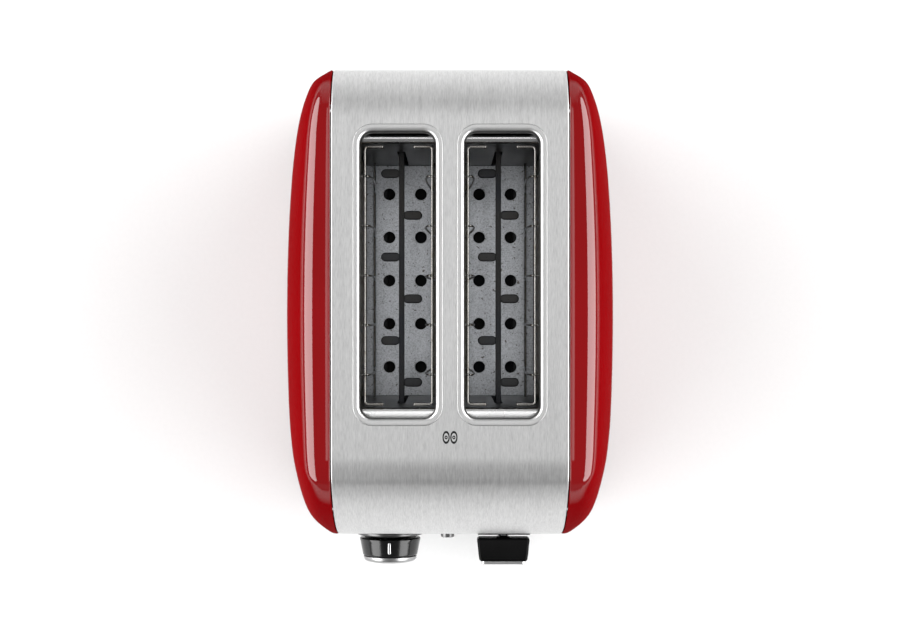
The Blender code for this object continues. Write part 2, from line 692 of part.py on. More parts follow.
def make_crumb_tray():
    """Sheet tray that slides out of the rear, with a moulded face and finger grip."""
    low = BASE_TOP_Z + TRAY_FLOOR_GAP
    middle_y = TRAY_REAR_Y - TRAY_LENGTH / 2
    width = TRAY_WIDTH - 4 * CLEARANCE
    tray = box("crumb_tray", (width, TRAY_LENGTH, TRAY_HEIGHT),
               (0, middle_y, low + TRAY_HEIGHT / 2), "galvanised")
    inner = (width - 2 * TRAY_WALL, TRAY_LENGTH - 2 * TRAY_WALL, TRAY_HEIGHT)
    cut(tray, box("tray_cutter", inner, (0, middle_y, low + TRAY_WALL + TRAY_HEIGHT / 2)))
    face_low = BASE_TOP_Z + CLEARANCE
    face = box("crumb_tray_handle", (TRAY_WIDTH, TRAY_FACE_THICKNESS, TRAY_FACE_HEIGHT),
               (0, REAR_Y - TRAY_FACE_THICKNESS / 2, face_low + TRAY_FACE_HEIGHT / 2), "black", 0.0005)
    grip = rounded(-GRIP_WIDTH / 2, GRIP_WIDTH / 2, face_low + 0.003, face_low + 0.003 + GRIP_HEIGHT, 0.003)
    cut(face, extruded("grip_cutter", [grip], "XZ", REAR_Y - TRAY_FACE_THICKNESS + 0.0012, REAR_Y + 0.01))
    hang_on(axis_empty("tray_slide", (0, REAR_Y, low)), tray, face)


# ---------------------------------------------------------------- toasting chamber
def make_end_wall(name, face_y, outward):
    """End wall of the chamber: sheet with a rolled top flange and slots for the racks."""
    roll = 0.003
    turn = [math.radians(90 * step / 4) for step in range(5)]
    outer = [(roll * (1 - math.cos(a)), roll * (math.sin(a) - 1)) for a in turn]
    thin = roll - PLATE
    inner = [(roll - thin * math.cos(a), thin * math.sin(a) - roll) for a in reversed(turn)]
    low = FLOOR_Z + GRILLE + GAP - FLANGE_Z
    section = [(0, low)] + outer + [(FLANGE, 0), (FLANGE, -PLATE)] + inner + [(PLATE, low)]
    loop = [(face_y + outward * u, FLANGE_Z + v) for u, v in section]
    wall = extruded(name, [loop], "YZ", -INNER_X, INNER_X, "dark_steel")
    y0, y1 = face_y - 4 * PLATE, face_y + 4 * PLATE
    half = RACK_BAR / 2 + CLEARANCE
    for side in (-1, 1):
        x = side * SLOT_X
        low_z = RACK_BAR_Z - LIFT_TRAVEL - CLEARANCE / 2
        slot = rounded(x - half, x + half, low_z, RACK_Z + HIGH_LIFT + CLEARANCE, half * 0.3, 1)
        cut(wall, extruded("rack_slot_cutter", [slot], "XZ", y0, y1))
        for offset in (-GUARD_OFFSET, GUARD_OFFSET):
            cut(wall, cylinder("pivot_cutter", PIVOT_HOLE, (x + offset, y0, PIVOT_Z),
                               (x + offset, y1, PIVOT_Z), None, 10))


def make_deck():
    """Deck plate under the wrap that frames both slots, and the grille below the racks."""
    openings = [rounded(side * SLOT_X - SLOT_WIDTH / 2 - DECK_MARGIN, side * SLOT_X + SLOT_WIDTH / 2 + DECK_MARGIN,
                        SLOT_Y - SLOT_LENGTH / 2 - DECK_MARGIN, SLOT_Y + SLOT_LENGTH / 2 + DECK_MARGIN,
                        SLOT_CORNER, 2) for side in (-1, 1)]
    y0, y1 = ROD_Y - DECK_OVERHANG, REAR_WALL_Y + DECK_OVERHANG
    border = [(-INNER_X, y0), (INNER_X, y0), (INNER_X, y1), (-INNER_X, y1)]
    extruded("top_deck", [border] + openings, "XY", DECK_Z - DECK, DECK_Z, "galvanised")
    holes = []
    for side in (-1, 1):
        for row in (-1, 1):
            for y in spread(GRILLE_ROWS, GRILLE_END):
                holes.append(circle(side * SLOT_X + row * GRILLE_HOLE_X, y, GRILLE_HOLE, 10))
    border = [(-INNER_X, FRONT_WALL_Y), (INNER_X, FRONT_WALL_Y), (INNER_X, REAR_WALL_Y), (-INNER_X, REAR_WALL_Y)]
    extruded("floor_grille", [border] + holes, "XY", FLOOR_Z, FLOOR_Z + GRILLE, "galvanised")


def make_heater(label, slot_side, offset_side):
    """One mica sheet with its flat heating ribbon on the face towards the bread."""
    x = slot_side * SLOT_X + offset_side * HEATER_OFFSET
    low_z, high_z = HEATER_BOTTOM, TOP_Z - HEATER_TOP_DROP
    y0, y1 = FRONT_WALL_Y + HEATER_END_GAP, REAR_WALL_Y - HEATER_END_GAP
    box(f"heater_mica_{label}", (MICA, y1 - y0, high_z - low_z), (x, CHAMBER_Y, (low_z + high_z) / 2), "mica")
    face = x - offset_side * (MICA / 2 + GAP + RIBBON_THICKNESS / 2)
    y0, y1, low_z, high_z = y0 + RIBBON_MARGIN, y1 - RIBBON_MARGIN, low_z + 0.006, high_z - 0.006
    pitch = (high_z - low_z - RIBBON_WIDTH) / (RIBBON_RUNS - 1)
    there, back = [], []
    for run in range(RIBBON_RUNS):
        z = low_z + run * pitch
        start, end = (y0, y1) if run % 2 == 0 else (y1, y0)
        inset = RIBBON_WIDTH if start < end else -RIBBON_WIDTH
        first = start if run == 0 else start + inset
        last = end if run == RIBBON_RUNS - 1 else end - inset
        if run % 2 == 0:
            there += [(first, z), (end, z)]
            back += [(start, z + RIBBON_WIDTH), (last, z + RIBBON_WIDTH)]
        else:
            back += [(first, z), (end, z)]
            there += [(start, z + RIBBON_WIDTH), (last, z + RIBBON_WIDTH)]
    loop = there + back[::-1]
    half = RIBBON_THICKNESS / 2
    extruded(f"heater_ribbon_{label}", [loop], "YZ", face - half, face + half, "nichrome")


def make_reflector(name, side):
    """Bright channel behind each outer heater."""
    y0, y1 = FRONT_WALL_Y + GAP, REAR_WALL_Y - GAP
    outer, inner = side * REFLECTOR_X, side * (REFLECTOR_X - REFLECTOR)
    lip = side * (REFLECTOR_X - REFLECTOR_FLANGE)
    loop = [(outer, y0), (outer, y1), (lip, y1), (lip, y1 - REFLECTOR),
            (inner, y1 - REFLECTOR), (inner, y0 + REFLECTOR), (lip, y0 + REFLECTOR), (lip, y0)]
    extruded(name, [loop], "XY", FLOOR_Z + GRILLE + GAP, TOP_Z - HEATER_TOP_DROP + 0.006, "galvanised")


# ---------------------------------------------------------------- guard cages
def rib_path(x, y, inward, top):
    """One cross wire: hooked over the long wire, bowed inward and down to the hinge wire."""
    height = top - PIVOT_Z
    points = [(x - inward * GUARD_TIP, y, top + 0.0002), (x, y, top + 0.0011),
              (x + inward * GUARD_BOW * 0.6, y, top - 0.0006)]
    for step in range(1, 6):
        share = step / 5
        bow = GUARD_BOW * math.sin(math.pi * (0.42 + 0.58 * share))
        points.append((x + inward * bow, y, top - 0.003 - (height - 0.003) * share))
    return points


def make_guard_cage(label, slot_side, offset_side):
    """Wire cage that centres the bread, hinged on its lowest wire."""
    x = slot_side * SLOT_X + offset_side * GUARD_OFFSET
    inward = -offset_side
    top = TOP_Z - GUARD_TOP_DROP
    y0 = FRONT_WALL_Y + GUARD_END_GAP + GUARD_WIRE
    y1 = REAR_WALL_Y - GUARD_END_GAP - GUARD_WIRE
    turn = 0.0012
    reach = x + inward * GUARD_RETURN
    long_wire = [(reach, y0, top), (x + inward * turn, y0, top), (x, y0 + turn, top),
                 (x, y1 - turn, top), (x + inward * turn, y1, top), (reach, y1, top)]
    out = PLATE + PIVOT_OVERHANG
    hinge = [(x, FRONT_WALL_Y - out, PIVOT_Z), (x, REAR_WALL_Y + out, PIVOT_Z)]
    cage = wire(f"guard_cage_{label}", long_wire, GUARD_WIRE, "bright_wire")
    unite(cage, wire("hinge_wire", hinge, GUARD_WIRE))
    for y in spread(GUARD_RIBS, GUARD_RIB_END):
        unite(cage, wire("rib", rib_path(x, y, inward, top), GUARD_WIRE * 0.9))
    hang_on(axis_empty(f"guard_hinge_{label}", (x, CHAMBER_Y, PIVOT_Z)), cage)


# ---------------------------------------------------------------- bread lift
def make_rack(name, side):
    """Bread rack: a bar through both end walls with fingers to alternate sides."""
    x = side * SLOT_X
    y0 = CARRIAGE_Y + CARRIAGE / 2 + GAP
    y1 = REAR_WALL_Y + PLATE + RACK_OVERHANG
    rack = box(name, (RACK_BAR, y1 - y0, RACK_BAR_HEIGHT), (x, (y0 + y1) / 2, RACK_Z - RACK_BAR_HEIGHT / 2),
               "dark_steel")
    for step, y in enumerate(spread(RACK_FINGERS, RACK_FINGER_END)):
        way = 1 if step % 2 == 0 else -1
        half = RACK_FINGER_WIDTH / 2
        ends = sorted((x - way * 0.001, x + way * RACK_FINGER))
        finger = rounded(ends[0], ends[1], y - half, y + half, half * 0.96, 3)
        low = RACK_Z - 0.0004 - RACK_FINGER_THICKNESS
        unite(rack, extruded("finger", [finger], "XY", low, low + RACK_FINGER_THICKNESS))
    return rack


def make_lift():
    """Racks, carriage, bushing, arm, lever and armature, all on one slide."""
    moving = [make_rack("bread_rack_left", -1), make_rack("bread_rack_right", 1)]
    half = SLOT_X + RACK_BAR / 2 + CARRIAGE_EDGE
    low, high = CARRIAGE_LOW_Z, CARRIAGE_LOW_Z + CARRIAGE_HEIGHT
    neck = BUSHING_RADIUS + 0.006
    shoulder = low + CARRIAGE_HEIGHT * 0.45
    loop = [(-half, low), (half, low), (half, high), (neck, high), (neck, shoulder), (-neck, shoulder),
            (-neck, high), (-half, high)]
    half_sheet = CARRIAGE / 2
    moving.append(extruded("carriage_plate", [loop], "XZ", CARRIAGE_Y - half_sheet, CARRIAGE_Y + half_sheet,
                           "galvanised"))
    moving.append(extruded(
        "rod_bushing", [circle(0, ROD_Y, BUSHING_RADIUS, 16), circle(0, ROD_Y, ROD_RADIUS + ROD_RUN_GAP, 16)],
        "XY", low, high, "black"))
    moving.append(box("latch_armature", (ARMATURE_SIZE, ARMATURE_SIZE * 0.6, ARMATURE_HEIGHT),
                      (MAGNET_X, CARRIAGE_Y - ARMATURE_SIZE * 0.1, ARMATURE_Z), "galvanised"))
    front = CARRIAGE_Y - half_sheet - GAP
    arm_low, arm_high = LEVER_Z - ARM_HEIGHT / 2, LEVER_Z + ARM_HEIGHT / 2
    arm_loop = [(front, arm_low), (front, RACK_Z - 0.002), (front - 0.006, RACK_Z - 0.002),
                (front - 0.014, arm_high), (LEVER_BACK_Y - 0.006, arm_high), (LEVER_BACK_Y - 0.006, arm_low)]
    moving.append(extruded("lever_arm", [arm_loop], "YZ", LEVER_X - ARM / 2, LEVER_X + ARM / 2, "galvanised"))
    moving += make_lever()
    hang_on(axis_empty("lift_slide", (0, ROD_Y, RACK_Z)), *moving)


def make_lever():
    """Moulded lever with a bright strip, socketed on the arm."""
    back, front = LEVER_BACK_Y, LEVER_BACK_Y - LEVER_DEPTH
    wide, narrow = LEVER_WIDTH / 2, LEVER_FRONT_WIDTH / 2
    loop = [(LEVER_X - wide, back), (LEVER_X - narrow - 0.0006, front + 0.0012), (LEVER_X - narrow + 0.001, front),
            (LEVER_X + narrow - 0.001, front), (LEVER_X + narrow + 0.0006, front + 0.0012), (LEVER_X + wide, back)]
    knob = extruded("lever_knob", [loop], "XY", LEVER_Z - LEVER_HEIGHT / 2, LEVER_Z + LEVER_HEIGHT / 2, "black")
    socket = (ARM + 2 * GAP, 0.012, ARM_HEIGHT + 2 * GAP)
    cut(knob, box("socket_cutter", socket, (LEVER_X, back, LEVER_Z)))
    half = LEVER_STRIP_WIDTH / 2
    edge = front - GAP
    strip = [(LEVER_X - half, edge), (LEVER_X - half + 0.0008, edge - LEVER_STRIP + GAP),
             (LEVER_X + half - 0.0008, edge - LEVER_STRIP + GAP), (LEVER_X + half, edge)]
    cap = extruded("lever_cap", [strip], "XY", LEVER_Z - LEVER_HEIGHT / 2 + 0.0005,
                   LEVER_Z + LEVER_HEIGHT / 2 - 0.0005, "satin")
    return [knob, cap]


def make_lift_fittings():
    """Guide rod between base and deck, the return spring round it, and the holding magnet."""
    top = DECK_Z - DECK - GAP
    cylinder("guide_rod", ROD_RADIUS, (0, ROD_Y, BASE_TOP_Z + GAP), (0, ROD_Y, top), "satin", 12)
    start, end = BASE_TOP_Z + 2 * SPRING_WIRE, CARRIAGE_LOW_Z - 2 * SPRING_WIRE
    count = SPRING_TURNS * 8
    helix = []
    for k in range(count + 1):
        angle = 2 * math.pi * SPRING_TURNS * k / count
        helix.append((SPRING_RADIUS * math.cos(angle), ROD_Y + SPRING_RADIUS * math.sin(angle),
                      start + (end - start) * k / count))
    wire("lift_spring", helix, SPRING_WIRE, "bright_wire", 0)
    top, core = MAGNET_TOP_Z, MAGNET_CORE
    low = BASE_TOP_Z + GAP
    y = CARRIAGE_Y - ARMATURE_SIZE * 0.1
    cylinder("magnet_core", core, (MAGNET_X, y, low), (MAGNET_X, y, top), "galvanised", 12)
    wound = MAGNET_SIZE / 2 + 0.002
    extruded("magnet_coil", [circle(MAGNET_X, y, wound, 16), circle(MAGNET_X, y, core + GAP, 12)], "XY",
             low, top - 0.0015, "copper")


# ---------------------------------------------------------------- front controls
def panel_outline(grow=0.0):
    """Upright pill round the column of buttons."""
    half = PANEL_WIDTH / 2 + grow
    reach = PANEL_WIDTH / 2 + grow
    return rounded(BUTTON_X - half, BUTTON_X + half, BUTTON_LOW_Z - reach, BUTTON_TOP_Z + reach, half * 0.98, 5)


def make_lever_bezel():
    """Moulded escutcheon plugged into the wrap round the lever's slot."""
    half = BEZEL_WIDTH / 2
    border = rounded(LEVER_X - half, LEVER_X + half, BEZEL_LOW, BEZEL_HIGH, BEZEL_CORNER)
    gap = ARM / 2 + CLEARANCE
    slot = rounded(LEVER_X - gap, LEVER_X + gap, LEVER_SLOT_LOW, LEVER_SLOT_HIGH, gap * 0.3, 1)
    extruded("lever_bezel", [border, slot], "XZ", BEZEL_Y, BEZEL_Y + BEZEL_DEPTH, "black")


def make_buttons():
    """Button panel and its four push buttons with stems to the control board."""
    holes = [circle(BUTTON_X, BUTTON_TOP_Z - k * BUTTON_PITCH, BUTTON_RADIUS + GAP, 20) for k in range(BUTTONS)]
    front = FRONT_Y - PANEL_PROUD
    extruded("button_panel", [panel_outline()] + holes, "XZ", front, front + PANEL_DEPTH, "black")
    stem_end = BOARD_Y - BOARD / 2 - BUTTON_TRAVEL - CLEARANCE
    for k in range(BUTTONS):
        z = BUTTON_TOP_Z - k * BUTTON_PITCH
        neck = front + PANEL_DEPTH
        profile = [(0.0, BUTTON_FACE_Y - stem_end), (STEM_RADIUS, BUTTON_FACE_Y - stem_end),
                   (STEM_RADIUS, BUTTON_FACE_Y - neck), (BUTTON_RADIUS, BUTTON_FACE_Y - neck),
                   (BUTTON_RADIUS, -0.0006), (BUTTON_RADIUS - 0.0006, 0.0), (0.0, 0.0)]
        button = turned(f"button_{k + 1}", profile, (BUTTON_X, BUTTON_FACE_Y, z), "satin")
        hang_on(axis_empty(f"button_slide_{k + 1}", (BUTTON_X, BUTTON_FACE_Y, z)), button)


def make_knob():
    """Browning control: pot on the board, shaft, knob with cap, and a domed bezel."""
    back = FRONT_Y - GAP
    place = (KNOB_X, back, KNOB_Z)
    hole = SHAFT_HOLE_RADIUS
    dome = [(hole, 0.0), (RING_RADIUS, 0.0), (RING_RADIUS, 0.0034), (RING_RADIUS - 0.0012, DOME_DEPTH - 0.0014),
            (DOME_RADIUS - 0.0015, DOME_DEPTH - 0.0004), (DOME_RADIUS - 0.004, DOME_DEPTH), (hole, DOME_DEPTH)]
    turned("knob_bezel", dome, place, "black", 28, closed=True)
    depth = KNOB_BACK_Y - KNOB_CAP_Y
    bore = SHAFT_RADIUS + GAP
    hollow = depth - KNOB_WALL
    knob = [(0.0, SHAFT_ENGAGED + GAP), (bore, SHAFT_ENGAGED + GAP), (bore, 0.0), (KNOB_HUB_RADIUS, 0.0),
            (KNOB_HUB_RADIUS, hollow), (KNOB_TIP_RADIUS - KNOB_WALL, hollow), (KNOB_RADIUS - KNOB_WALL, 0.0),
            (KNOB_RADIUS, 0.0), (KNOB_TIP_RADIUS, depth), (0.0, depth)]
    made = turned("shade_knob", knob, (KNOB_X, KNOB_BACK_Y, KNOB_Z), "black", 28)
    cap_depth = KNOB_CAP - GAP
    cap = [(0.0, 0.0), (KNOB_TIP_RADIUS - 0.0002, 0.0), (KNOB_TIP_RADIUS - 0.0010, 0.0010),
           (KNOB_CAP_RADIUS, cap_depth - 0.0003), (KNOB_CAP_RADIUS * 0.6, cap_depth), (0.0, cap_depth)]
    cap = turned("knob_cap", cap, (KNOB_X, KNOB_CAP_Y - GAP, KNOB_Z), "satin", 28)
    pot_front = BOARD_Y - BOARD / 2 - GAP - POT_DEPTH
    shaft = cylinder("shade_pot_shaft", SHAFT_RADIUS, (KNOB_X, pot_front - GAP, KNOB_Z),
                     (KNOB_X, KNOB_BACK_Y - SHAFT_ENGAGED, KNOB_Z), "satin", 14)
    cylinder("shade_pot_body", POT_RADIUS, (KNOB_X, pot_front, KNOB_Z),
             (KNOB_X, BOARD_Y - BOARD / 2 - GAP, KNOB_Z), "satin", 16)
    hang_on(axis_empty("knob_axis", (KNOB_X, KNOB_BACK_Y, KNOB_Z)), made, cap, shaft)


def make_electrics():
    """Control board behind the front wall, cord gland and terminal block at the rear."""
    x0, x1 = KNOB_X - POT_RADIUS - BOARD_MARGIN, BUTTON_X + BUTTON_RADIUS + BOARD_MARGIN
    z0, z1 = BUTTON_LOW_Z - BOARD_MARGIN, BUTTON_TOP_Z + BOARD_MARGIN
    box("control_board", (x1 - x0, BOARD, z1 - z0), ((x0 + x1) / 2, BOARD_Y, (z0 + z1) / 2), "board")
    extruded("cord_gland", [circle(GLAND_X, GLAND_Z, GLAND_RADIUS, 20), circle(GLAND_X, GLAND_Z, GLAND_BORE, 16)],
             "XZ", REAR_Y - GLAND_DEPTH, REAR_Y, "rubber")
    size = TERMINAL_SIZE
    y = REAR_Y - GLAND_DEPTH - 0.004 - size[1] / 2
    box("terminal_block", size, (GLAND_X - 0.001, y, BASE_TOP_Z + GAP + size[2] / 2), "black", 0.0006)


def main():
    """Build the whole toaster."""
    clear_scene()
    make_wrap()
    for name, side in (("left", -1), ("right", 1)):
        make_side_cover(f"side_cover_{name}", side)
        make_side_frame(f"side_frame_{name}", side)
        make_reflector(f"reflector_{name}", side)
        for place, offset in (("inner", -side), ("outer", side)):
            make_heater(f"{name}_{place}", side, offset)
            make_guard_cage(f"{name}_{place}", side, offset)
    make_base()
    make_crumb_tray()
    make_end_wall("front_end_plate", FRONT_WALL_Y, -1)
    make_end_wall("rear_end_plate", REAR_WALL_Y, 1)
    make_deck()
    make_lift()
    make_lift_fittings()
    make_lever_bezel()
    make_buttons()
    make_knob()
    make_electrics()
    bpy.context.view_layer.update()


main()
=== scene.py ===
"""Looks of a two-slice pop-up toaster with wide slots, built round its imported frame.

Metres, +Z up, the controls face -Y. Each sub-assembly is a class that holds its sizes
and builds and dresses its pieces.
"""
import logging
import math
from dataclasses import dataclass
from enum import Enum
from typing import Callable, Iterable, Sequence

import bmesh
import bpy
import numpy as np
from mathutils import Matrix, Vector

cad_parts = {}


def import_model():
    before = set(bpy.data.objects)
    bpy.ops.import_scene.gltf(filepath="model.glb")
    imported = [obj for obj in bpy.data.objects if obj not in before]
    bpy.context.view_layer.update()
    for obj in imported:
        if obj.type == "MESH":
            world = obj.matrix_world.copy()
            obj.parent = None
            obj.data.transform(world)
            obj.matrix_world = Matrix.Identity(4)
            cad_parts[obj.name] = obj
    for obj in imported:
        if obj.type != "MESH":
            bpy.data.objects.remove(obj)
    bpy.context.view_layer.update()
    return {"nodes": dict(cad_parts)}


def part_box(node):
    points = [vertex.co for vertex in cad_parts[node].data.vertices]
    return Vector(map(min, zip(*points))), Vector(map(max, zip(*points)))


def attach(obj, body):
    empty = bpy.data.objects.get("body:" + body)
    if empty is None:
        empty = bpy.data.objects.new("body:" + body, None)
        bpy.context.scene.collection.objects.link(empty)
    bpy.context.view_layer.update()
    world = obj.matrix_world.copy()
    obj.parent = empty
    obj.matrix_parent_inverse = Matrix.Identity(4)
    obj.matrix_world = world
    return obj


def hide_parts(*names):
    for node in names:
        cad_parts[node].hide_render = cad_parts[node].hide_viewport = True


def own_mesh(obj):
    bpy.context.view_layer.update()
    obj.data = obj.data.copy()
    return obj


LOG = logging.getLogger("toaster")
HAIR = 0.0003                # gap between pieces that touch
LAP = 0.0001                 # overlap of a border on the sheet under it
SLIVER = 1e-5                # keeps a half-round end from closing on itself
WELD = 1e-7                  # points this near become one
MM = 0.001
TURN_STEPS = 112             # facets round a large turned piece

Colour = tuple[float, float, float]
Point = tuple[float, float, float]
Pair = tuple[float, float]


# ---------------------------------------------------------------- shader building
class Value:
    """A shader output that Python arithmetic can use."""

    def __init__(self, kit: "ShaderKit", socket: bpy.types.NodeSocket) -> None:
        self.kit, self.socket = kit, socket

    def _math(self, operation: str, *operands: "Value | float") -> "Value":
        """Adds one Math node on the operands."""
        return self.kit.node("ShaderNodeMath", {"operation": operation}, dict(enumerate(operands)))

    def __add__(self, other: "Value | float") -> "Value":
        """Sum."""
        return self._math("ADD", self, other)

    __radd__ = __add__

    def __sub__(self, other: "Value | float") -> "Value":
        """Difference."""
        return self._math("SUBTRACT", self, other)

    def __rsub__(self, other: float) -> "Value":
        """Difference from a number."""
        return self._math("SUBTRACT", other, self)

    def __mul__(self, other: "Value | float") -> "Value":
        """Product."""
        return self._math("MULTIPLY", self, other)

    __rmul__ = __mul__

    def __pow__(self, other: float) -> "Value":
        """Power."""
        return self._math("POWER", self, other)

    def size(self) -> "Value":
        """Distance from zero."""
        return self._math("ABSOLUTE", self)

    def over(self, other: "Value | float") -> "Value":
        """One where this is greater, else zero."""
        return self._math("GREATER_THAN", self, other)

    def under(self, other: "Value | float") -> "Value":
        """One where this is less, else zero."""
        return self._math("LESS_THAN", self, other)

    def least(self, other: "Value | float") -> "Value":
        """The smaller of two values."""
        return self._math("MINIMUM", self, other)

    def fold(self) -> "Value":
        """Runs up and down between nought and one."""
        return self._math("PINGPONG", self, 1.0)

    def wave(self) -> "Value":
        """Sine."""
        return self._math("SINE", self)


class ShaderKit:
    """Builds the node tree of one material."""

    def __init__(self, name: str) -> None:
        """Starts an empty material."""
        self.material = bpy.data.materials.new(name)
        self.material.use_nodes = True
        self.tree = self.material.node_tree
        self.tree.nodes.clear()

    def node(self, kind: str, settings: dict | None = None, inputs: dict | None = None,
             output: int | str = 0) -> Value:
        """Adds a node.

        Args:
            kind: the node's type.
            settings: its properties; "stops" lists a ramp's (place, colour) pairs.
            inputs: values or links of its sockets, by name or index.
            output: the output to hand back.

        Returns:
            The chosen output.
        """
        made = self.tree.nodes.new(kind)
        for key, value in (settings or {}).items():
            if key == "stops":
                self._set_stops(made.color_ramp, value)
            else:
                setattr(made, key, value)
        for key, value in (inputs or {}).items():
            if isinstance(value, Value):
                self.tree.links.new(value.socket, made.inputs[key])
            else:
                made.inputs[key].default_value = value
        return Value(self, made.outputs[output])

    @staticmethod
    def _set_stops(ramp: bpy.types.ColorRamp, stops: Sequence[tuple[float, Colour]]) -> None:
        """Puts a ramp's stops in place.

        Args:
            ramp: the ramp.
            stops: (place, colour) pairs.
        """
        while len(ramp.elements) < len(stops):
            ramp.elements.new(1.0)
        for element, (place, colour) in zip(ramp.elements, stops):
            element.position = place
            element.color = (*colour, 1.0)

    def place(self, stretch: Point = (1.0, 1.0, 1.0), shift: Point = (0.0, 0.0, 0.0)) -> Value:
        """Place on the object, stretched and shifted."""
        spot = self.node("ShaderNodeTexCoord", output="Object")
        return self.node("ShaderNodeMapping", {}, {"Vector": spot, "Scale": stretch, "Location": shift})

    def noise(self, stretch: Point, detail: float = 3.0, rough: float = 0.5, shift: Point = (0.0, 0.0, 0.0)) -> Value:
        """Cloudy pattern with so many cells to a metre along X, Y and Z."""
        return self.node("ShaderNodeTexNoise", {}, {"Vector": self.place(stretch, shift), "Scale": 1.0,
                                                     "Detail": detail, "Roughness": rough})

    def cells(self, scale: float, output: str = "Distance") -> Value:
        """Cell pattern with so many cells to a metre."""
        return self.node("ShaderNodeTexVoronoi", {}, {"Vector": self.place(), "Scale": scale}, output)

    def axis(self, index: int) -> Value:
        """One coordinate of the place on the object."""
        return self.node("ShaderNodeSeparateXYZ", {}, {"Vector": self.place()}, index)

    def ramp(self, value: Value, stops: Sequence[tuple[float, Colour]]) -> Value:
        """Colours picked along a value."""
        return self.node("ShaderNodeValToRGB", {"stops": stops}, {"Fac": value})

    def mix(self, share: Value | float, first: Value | Colour, second: Value | Colour) -> Value:
        """Mixes two colours."""
        sides = [c if isinstance(c, Value) else (*c, 1.0) for c in (first, second)]
        return self.node("ShaderNodeMix", {"data_type": "RGBA"}, {0: share, 6: sides[0], 7: sides[1]}, 2)

    def bump(self, height: Value, strength: float, depth: float) -> Value:
        """Normal tilted by a height pattern of a depth in metres."""
        return self.node("ShaderNodeBump", {}, {"Height": height, "Strength": strength, "Distance": depth})

    def surface(self, colour: Value | Colour, roughness: Value | float, metallic: float,
                normal: Value | None = None, **fixed: float | Colour) -> bpy.types.Material:
        """Finishes the material with one shader.

        Args:
            colour: base colour.
            roughness: roughness, fixed or varying.
            metallic: 0 to 1.
            normal: bumped normal.
            fixed: other sockets, with underscores for spaces.

        Returns:
            The material.
        """
        inputs: dict = {"Base Color": colour if isinstance(colour, Value) else (*colour, 1.0),
                        "Roughness": roughness, "Metallic": metallic}
        if normal is not None:
            inputs["Normal"] = normal
        for key, value in fixed.items():
            inputs[key.replace("_", " ")] = value
        shader = self.node("ShaderNodeBsdfPrincipled", {}, inputs)
        out = self.tree.nodes.new("ShaderNodeOutputMaterial")
        self.tree.links.new(shader.socket, out.inputs["Surface"])
        return self.material


# ---------------------------------------------------------------- finishes
def grey(level: float) -> Colour:
    """A neutral colour."""
    return (level, level, level)


@dataclass(frozen=True)
class Finish:
    """A finish: its name and the material slot it belongs to."""

    name: str
    slot: str

    def paint(self, kit: ShaderKit) -> None:
        """Builds the node tree."""
        kit.surface(grey(0.5), 0.5, 0.0)

    def material(self) -> bpy.types.Material:
        """The finish's material, made on first use.

        Returns:
            The material.
        """
        found = bpy.data.materials.get("look_" + self.name)
        if found is None:
            kit = ShaderKit("look_" + self.name)
            self.paint(kit)
            found = kit.material
        return found


@dataclass(frozen=True)
class BrushedSteel(Finish):
    """Stainless sheet brushed front to back, with an etched pictogram between the slots."""

    tone: float = 0.54
    roughness: float = 0.40
    mark_y: float | None = None
    mark_reach: float = 0.0020
    mark_floor: float = 0.15

    def paint(self, kit: ShaderKit) -> None:
        """Fine lines across X, long along the sheet, with cloudy sheen.

        Args:
            kit: builder of the material.
        """
        fine = kit.noise((1900.0, 190.0, 190.0), 3.0, 0.7)
        broad = kit.noise((520.0, 14.0, 14.0), 2.0, 0.5, (3.1, 0.0, 0.0))
        cloud = kit.noise((14.0, 9.0, 9.0), 2.0)
        lines = fine * 0.8 + broad * 0.2
        t = self.tone
        colour = kit.ramp(lines, [(0.30, (t * 0.80, t * 0.80, t * 0.805)), (0.5, (t, t, t * 0.998)),
                                  (0.70, (min(1.0, t * 1.16), min(1.0, t * 1.16), min(1.0, t * 1.155)))])
        if self.mark_y is not None:
            colour = kit.mix(self.mark(kit), colour, (0.03, 0.03, 0.03))
        rough = self.roughness - 0.06 + lines * 0.10 + cloud * 0.05
        kit.surface(colour, rough, 1.0, kit.bump(lines, 0.16, 0.0001))

    def mark(self, kit: ShaderKit) -> Value:
        """Two upright ovals side by side, each round a small ring.

        Args:
            kit: builder of the material.

        Returns:
            One on the lines of the pictogram, else zero.
        """
        x, y = kit.axis(0), kit.axis(1)
        shapes = []
        for cx in (-self.mark_reach, self.mark_reach):
            across, along = x - cx, y - self.mark_y
            for ring, squeeze, line in ((0.00155, 0.56, 0.00066), (0.00055, 0.80, 0.00050)):
                away = (across ** 2.0 + (along * squeeze) ** 2.0) ** 0.5
                shapes.append((away - ring).size().under(line / 2))
        return sum(shapes).least(1.0) * kit.axis(2).over(self.mark_floor)


@dataclass(frozen=True)
class PolishedSteel(Finish):
    """Bright rolled edge of the steel."""

    tone: float = 0.86
    roughness: float = 0.16

    def paint(self, kit: ShaderKit) -> None:
        """Faint drawing lines and handling haze.

        Args:
            kit: builder of the material.
        """
        lines = kit.noise((900.0, 900.0, 120.0), 2.0)
        haze = kit.noise((60.0, 60.0, 60.0), 3.0)
        t = self.tone
        colour = kit.ramp(lines, [(0.3, grey(t * 0.95)), (0.7, (t, t, t * 0.995))])
        kit.surface(colour, self.roughness + haze * 0.08, 1.0, kit.bump(lines, 0.05, 0.0001))


